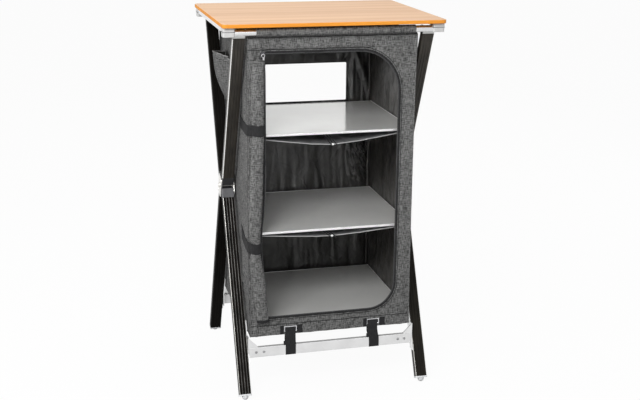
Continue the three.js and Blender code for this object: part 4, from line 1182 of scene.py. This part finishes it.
slider_dark = satin_metal("slider_dark", (0.10, 0.10, 0.105), 0.35, (900, 900, 900))
slider_alloy = satin_metal("slider_alloy", (0.66, 0.66, 0.67), 0.25, (900, 900, 900))
shell = block(
    "slider_shell", (SLIDER_X - 0.0052, SLIDER_FACE, SLIDER_Z - 0.0023),
    (SLIDER_X + 0.0052, SLIDER_FACE + 0.0022, SLIDER_Z + 0.0063),
)
round_edges(shell, 0.0018, 3, along(1, 0.001))
pick(shell, "FACE", lambda face: face.normal.y < -0.9 and face.calc_area() > 2e-5)
bpy.ops.mesh.inset(thickness=0.0012)
bpy.ops.transform.translate(value=(0, -0.0005, 0))
place = (SLIDER_X, SLIDER_FACE - 0.0003, SLIDER_Z)
loop = hoop("slider_loop", LOOP_R, LOOP_WIRE, place, ACROSS, 24, 8)
pick(loop, "FACE", lambda face: True)
bpy.ops.transform.resize(
    value=(1, 0.6, 1), center_override=(SLIDER_X, SLIDER_FACE + 0.0002, SLIDER_Z),
)
place = (SLIDER_X - 0.0005, SLIDER_FACE - 0.0016, SLIDER_Z - 0.0035)
ring = hoop("slider_ring", RING_R, RING_WIRE, place, FORWARD, 36, 10)
tab = block(
    "slider_tab", (SLIDER_X - 0.0018, SLIDER_FACE - 0.0020, SLIDER_Z - 0.0195),
    (SLIDER_X + 0.0030, SLIDER_FACE - 0.0010, SLIDER_Z - 0.0075),
)
round_edges(tab, 0.0016, 3, along(1, 0.0005))
round_edges(tab, 0.0003, 2)
slider = joined(shell, loop, ring, tab)
for polygon in slider.data.polygons:
    polygon.material_index = int(polygon.center.y < SLIDER_FACE - 0.0006)
fit(slider, [slider_dark, slider_alloy], "zip", "silver", "zip_slider")
pull_rows = [
    [(SLIDER_X + 0.0012 + half * w + 0.0022 * (1 - t), PULL_Y + 0.0004 * math.sin(6 * t),
      PULL_LOW + PULL_LONG * t) for w in (-1, -0.33, 0.33, 1)]
    for t, half in ((0, 0.0022), (0.2, 0.0027), (0.5, 0.0026), (0.8, 0.0024), (1, 0.0017))
]
cloth("slider_pull", pull_rows, [black_tape], PULL_THICK, "zip", "black_fabric")

# --- Rolled door ---
# The door itself, rolled about six turns and sewn to the panel down the left of the opening.
# It is pinched by two flat black ties, which start on the side wall and go round the corner.
ROLL_TURNS, ROLL_STEPS, ROLL_ROWS = 6.5, 44, 90
ROLL_LOW, ROLL_HIGH, ROLL_Y = 0.211, 0.929, FRONT_Y - 0.0106
ROLL_THICK, ROLL_HEM, ROLL_CORE, ROLL_FROM = 0.0009, 0.011, 0.08, 0.5
TIES, TIE_HALF, TIE_THICK = {"upper": 0.748, "lower": 0.4245}, 0.0145, 0.0012
TIE_RISE, TIE_GAP = {"upper": 0.006, "lower": 0.024}, 0.0016
ROLL_EDGE = (
    (0.211, -0.1785), (0.30, -0.1850), (0.4245, -0.2010), (0.58, -0.1930), (0.76, -0.1880),
    (0.929, -0.1850),
)


def through(knots, z):
    """A smooth curve through pairs of height and value."""
    for (low, first), (high, last) in zip(knots, knots[1:]):
        if z <= high:
            share = max(0.0, (z - low) / (high - low))
            return first + (last - first) * share * share * (3 - 2 * share)
    return knots[-1][1]


def roll_shape(z):
    """Centre, half width and half depth of the roll at a height."""
    pinch = math.exp(-((z - TIES["upper"]) / 0.020) ** 2)
    knot = math.exp(-((z - TIES["lower"]) / 0.030) ** 2)
    half_width = 0.0192 - 0.0020 * pinch - 0.0052 * knot + 0.0008 * math.sin(24 * z)
    half_depth = 0.0104 - 0.0014 * pinch - 0.0016 * knot
    return through(ROLL_EDGE, z) - half_width, half_width, half_depth


def tape(name, places, low, high, rows_up, thickness, body, lift=lambda i: 0.0):
    """Flat webbing: a strip that follows places in plan and stands from low to high."""
    lengths = lengths_along(places)
    rows = [[(x, y, z + lift(i)) for i, (x, y) in enumerate(places)]
            for z in steps(low, high, rows_up)]
    return cloth(
        name, rows, [black_tape], thickness, body, "black_fabric",
        weave=lambda r, c, point: (lengths[c], point.z),
    )


roll_rows = []
for r, z in enumerate(steps(ROLL_LOW, ROLL_HIGH, ROLL_ROWS)):
    centre, half_width, half_depth = roll_shape(z)
    end_share = abs(r - ROLL_ROWS / 2) / (ROLL_ROWS / 2)
    rim = 0.6 * max(0.0, end_share - 0.9) * 10 * (1 if r > ROLL_ROWS / 2 else -0.6)
    row = []
    for i in range(int(ROLL_TURNS * ROLL_STEPS) + 1):
        turn = 2 * math.pi * i / ROLL_STEPS
        share = 1 - (1 - ROLL_CORE) * i / (ROLL_TURNS * ROLL_STEPS)
        dent = 0.0011 * ridges(turn * 0.8, z * 9, 5.5) + 0.0007 * ridges(turn * 1.6, z * 22, 2.5)
        dent *= max(0.0, 1 - i / ROLL_STEPS)
        x = centre + (half_width * share - dent) * math.cos(turn + ROLL_FROM)
        y = ROLL_Y + (half_depth * share - dent) * math.sin(turn + ROLL_FROM)
        slope = 0.004 * math.sin(turn / 2.2 + 1.0) + 0.0014 * i / ROLL_STEPS
        row.append((x, y, z + slope * rim))
    roll_rows.append(row)
roll_weave = [lengths_along(row) for row in roll_rows]
roll = cloth(
    "door_roll", roll_rows, [heather_grey, coated_black, black_tape], ROLL_THICK, "front_curtain",
    "grey_fabric", "rolled_door", weave=lambda r, c, point: (roll_weave[r][c], point.z),
)
for polygon in roll.data.polygons:
    if polygon.center.z < ROLL_LOW + ROLL_HEM:
        polygon.material_index = 2
for name, z in TIES.items():
    centre, half_width, half_depth = roll_shape(z)
    tail = [(-0.2326 - 0.0036 * min(1, i / 3), -0.105 - 0.0085 * i) for i in range(13)]
    tie_tail = tape(
        f"tie_tail_{name}", tail, z - TIE_HALF, z + TIE_HALF, 6, TIE_THICK, "front_curtain",
        lambda i: TIE_RISE[name] * max(0.0, 1 - i / 12) ** 1.4,
    )
    gathered(tie_tail)
    loop = [(-0.2361, -0.2060), (-0.2352, -0.2152), (-0.2325, -0.2205)]
    for turn in steps(math.radians(186), math.radians(360), 26):
        loop.append((
            centre + (half_width + TIE_GAP) * math.cos(turn),
            ROLL_Y + (half_depth + TIE_GAP) * math.sin(turn),
        ))
    tape(
        f"roll_tie_{name}", loop, z - TIE_HALF, z + TIE_HALF, 6, TIE_THICK, "front_curtain",
        lambda i: 0.0010 * math.sin(0.3 * i),
    )

# --- Side pockets ---
# A small open-topped pocket on each side wall, cut full so that its mouth hangs open. The
# mouth is bound with a tape, and the slack gathers in an upright pleat.
POCKET_FROM, POCKET_TO, POCKET_LOW, POCKET_HIGH = -0.026, 0.118, 0.766, 0.905
POCKET_WALL, POCKET_GAPE, POCKET_MIDDLE = 0.2318, 0.041, 0.84
POCKET_THICK, LINING_THICK, MOUTH_R, FINE_STITCH_R = 0.0012, 0.0005, 0.0018, 0.0005
hem_grey = heather("hem_grey", (0.10, 0.10, 0.098), (0.3, 0.3, 0.297))


def pocket_place(sign, across, height):
    """A point of a pocket's cloth, from shares of its width and of its height."""
    gape = POCKET_GAPE * math.sin(math.pi * across ** 1.9) ** 0.7 * (1 - (1 - height) ** 2)
    pleat = 0.0055 * height * math.exp(-((across - 0.27) / 0.035) ** 2)
    crease = 0.0016 * ridges(across * 4, height * 2.2, 6.1) * math.sin(math.pi * across)
    dip = 0.011 * math.exp(-(across / 0.2) ** 2) - 0.009 * math.sin(math.pi * across ** 1.6)
    return (
        sign * (POCKET_WALL + 0.0012 + max(0.0, gape - pleat + crease)),
        POCKET_FROM + (POCKET_TO - POCKET_FROM) * across,
        POCKET_LOW + (POCKET_HIGH - POCKET_LOW) * height - dip * height ** 3,
    )


for side, sign in SIDES:
    widths = steps(0, 1, 48)
    pocket = cloth(
        f"pocket_cloth_{side}",
        [[pocket_place(sign, across, height) for across in widths][::sign]
         for height in steps(0, 1, 40)],
        [heather_grey, coated_black], POCKET_THICK, "cabinet", "grey_fabric",
        f"side_pocket_{side}", weave=facing_aside,
    )
    mouth = piping(
        f"pocket_mouth_{side}", [pocket_place(sign, across, 1) for across in widths], MOUTH_R,
        hem_grey, "cabinet", "grey_fabric",
    )
    stitched = [pocket_place(sign, across, 0.9) for across in widths[2:47]]
    stitch = piping(
        f"pocket_stitch_{side}", [(x + sign * 0.0002, y, z) for x, y, z in stitched],
        FINE_STITCH_R, black_tape, "cabinet",
    )
    lining = cloth(
        f"pocket_lining_{side}",
        [[(sign * (POCKET_WALL + 0.0004), y, z)
          for y in steps(POCKET_FROM + 0.003, POCKET_TO - 0.003, 12)][::sign]
         for z in steps(POCKET_LOW + 0.003, POCKET_HIGH + 0.007, 10)],
        [coated_black], LINING_THICK, "cabinet", "black_fabric", weave=facing_aside,
    )
    for piece in (pocket, mouth, stitch, lining):
        gathered(piece)

# --- Bottom straps and buckles ---
# Two short webbing straps come down from the panel's hem, through a bent wire buckle each, and
# go round the front bottom bar. A stitched black tab stands on each side of a buckle.
STRAP_HALF, STRAP_THICK = 0.0145, 0.0018
END_LOW, END_HIGH, END_THICK = 0.1345, 0.1455, 0.0016
TAB_LOW, TAB_HIGH, TAB_THICK, TAB_OUT = 0.1655, 0.1905, 0.0012, 0.0030
WIRE_THICK, WIRE_ROUND = 0.0030, 0.0011
wire = satin_metal("buckle_wire", (0.72, 0.72, 0.74), 0.25, (900, 900, 900))
bar_low, bar_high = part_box("bottom_bar_front")
gap = STRAP_THICK / 2 + 0.0001
near, far, under = bar_low.y - gap, bar_high.y + gap, bar_low.z - gap
for side, x, lean in (("left", -0.118, 0.0005), ("right", 0.1215, 0.003)):
    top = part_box(f"bottom_strap_{side}")[1].z
    course = [
        (-0.2163, 0.1812), (-0.2168, 0.1846), (-0.2180, 0.1862), (-0.2192, 0.1850),
        (-0.2196, 0.1800), (-0.2197, 0.1700), (near - 0.0006, 0.158), (near - 0.0010, 0.148),
        (near, 0.132), (near, 0.122), (near, 0.112), (near + 0.0008, under + 0.0008),
        (near + 0.002, under), (far - 0.002, under), (far - 0.0008, under + 0.0008),
        (far, 0.112), (far, 0.125), (far, 0.135), (far - 0.0012, 0.150), (-0.2098, 0.165),
        (-0.2110, top - 0.004),
    ]
    run = lengths_along(course)
    rows = [
        [(x + STRAP_HALF * w + lean * math.tanh((0.142 - z) / 0.012), y, z)
         for w in (1, 0.5, 0, -0.5, -1)]
        for y, z in course
    ]
    cloth(
        f"hem_strap_{side}", rows, [black_tape], STRAP_THICK, "front_foot_frame",
        "black_fabric", f"bottom_strap_{side}", weave=lambda r, c, point: (point.x, run[r]),
    )
    nub = [(place, near - 0.0002) for place in steps(x - 0.0200, x - 0.0136, 4)]
    tape(f"strap_end_{side}", nub, END_LOW, END_HIGH, 3, END_THICK, "front_foot_frame")
    low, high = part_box(f"strap_buckle_{side}")
    buckle = block(f"wire_buckle_{side}", low, high)
    for facing in (-1, 1):
        pick(buckle, "FACE", lambda face: face.normal.y * facing > 0.99
             and face.calc_area() > 1e-4)
        bpy.ops.mesh.inset(thickness=WIRE_THICK)
    pick(buckle, "FACE", lambda face: abs(face.normal.y) > 0.99
         and (face.calc_center_median() - (low + high) / 2).xz.length < 0.001)
    bpy.ops.mesh.bridge_edge_loops()
    round_edges(buckle, WIRE_ROUND, 3)
    smooth(buckle)
    fit(buckle, [wire], "front_curtain", "silver", f"strap_buckle_{side}")
    for hand, left, right in (("left", -0.0290, -0.0195), ("right", 0.0195, 0.0340)):
        tab = [(place, FRONT_Y - TAB_OUT) for place in steps(x + left, x + right, 4)]
        tape(f"hem_tab_{side}_{hand}", tab, TAB_LOW, TAB_HIGH, 3, TAB_THICK, "front_curtain")

# --- Worktop ---
# A board of bamboo strips with a clear finish and rounded corners. It lies on two satin alloy
# rails and four moulded corner clamps, which grip the ends of the top bars.
BOARD_X, BOARD_Y, BOARD_LOW, BOARD_HIGH = 0.300, 0.245, 1.018, 1.028
BOARD_CORNER, BOARD_EDGE, RAIL_EDGE, STRIP_WIDTH = 0.012, 0.0012, 0.0013, 0.0205
CLAMP_CORNER, CLAMP_EDGE = 0.0045, 0.0006
CLAMP_CUTS, CLAMP_FOOT, CLAMP_TAPER = (1.0075, 1.0060), 1.0065, 0.0014

bamboo = new_finish("bamboo", (0.80, 0.52, 0.33), 0.58, Specular_IOR_Level=0.2)
spots = bamboo.node_tree.nodes.new("ShaderNodeTexCoord").outputs
depth = add(bamboo, "SeparateXYZ", {0: spots["Object"]}).node.outputs["Y"]
upward = add(bamboo, "SeparateXYZ", {0: spots["Normal"]}).node.outputs["Z"]
strip_number = maths(bamboo, "FLOOR", maths(bamboo, "DIVIDE", depth, STRIP_WIDTH))
strip_tone = add(bamboo, "TexWhiteNoise", {"W": strip_number}, noise_dimensions="1D")
fibres = grain(bamboo, (7, 420, 420), 4)
tone = mixed(bamboo, 0.45, fibres, grain(bamboo, (2, 30, 30), 2))
tone = mixed(bamboo, 0.16, tone, strip_tone)
top_colour = between(bamboo, tone, (0.64, 0.385, 0.225), (0.80, 0.535, 0.335))
edge_colour = between(bamboo, tone, (0.72, 0.25, 0.028), (0.86, 0.36, 0.05))
level_share = maths(bamboo, "GREATER_THAN", upward, 0.6)
feed(bamboo, "Base Color", mixed(bamboo, level_share, edge_colour, top_colour))
feed(bamboo, "Roughness", ranged(bamboo, fibres, *NOISE_SPAN, 0.64, 0.54))
bumped(bamboo, fibres, 0.00012, 0.5)

top_board = bar_stock(
    "bamboo_board", (-BOARD_X, -BOARD_Y, BOARD_LOW), (BOARD_X, BOARD_Y, BOARD_HIGH),
    (BOARD_CORNER, 8, along(2, 0.005)), (BOARD_EDGE, 3),
)
fit(top_board, [bamboo], "worktop", "wood_top", "worktop_board")

rail_alloy = satin_metal("rail_alloy", (0.85, 0.85, 0.86), 0.3, (1200, 15, 1200))
clamp_plastic = moulded("clamp_plastic", (0.50, 0.50, 0.495), (0.59, 0.59, 0.585), 0.38)
for side, _ in SIDES:
    rail = bar_stock(
        f"under_rail_{side}", *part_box(f"side_rail_{side}"), (RAIL_EDGE, 3, along(1, 0.1)),
    )
    fit(rail, [rail_alloy], "worktop", "silver", f"side_rail_{side}")
    for end, face, *_ in ENDS:
        low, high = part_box(f"corner_clamp_{end}_{side}")
        clamp = block(f"bar_clamp_{end}_{side}", low, high)
        for height in CLAMP_CUTS:
            pick(clamp, "FACE", lambda plane: abs(plane.normal.z) < 0.1)
            bpy.ops.mesh.bisect(plane_co=(0, 0, height), plane_no=(0, 0, 1))
        outside = low.y if face < 0 else high.y
        pick(clamp, "VERT", lambda point: point.co.z < CLAMP_FOOT
             and abs(point.co.y - outside) < 1e-4)
        bpy.ops.transform.translate(value=(0, -face * CLAMP_TAPER, 0))
        upright = along(2, 0.003)
        round_edges(
            clamp, CLAMP_CORNER, 5, lambda edge: edge.calc_face_angle(0) > 1 and upright(edge),
        )
        round_edges(clamp, CLAMP_EDGE, 2, sharper(0.9))
        smooth(clamp)
        fit(clamp, [clamp_plastic], "worktop", "grey_plastic", f"corner_clamp_{end}_{side}")
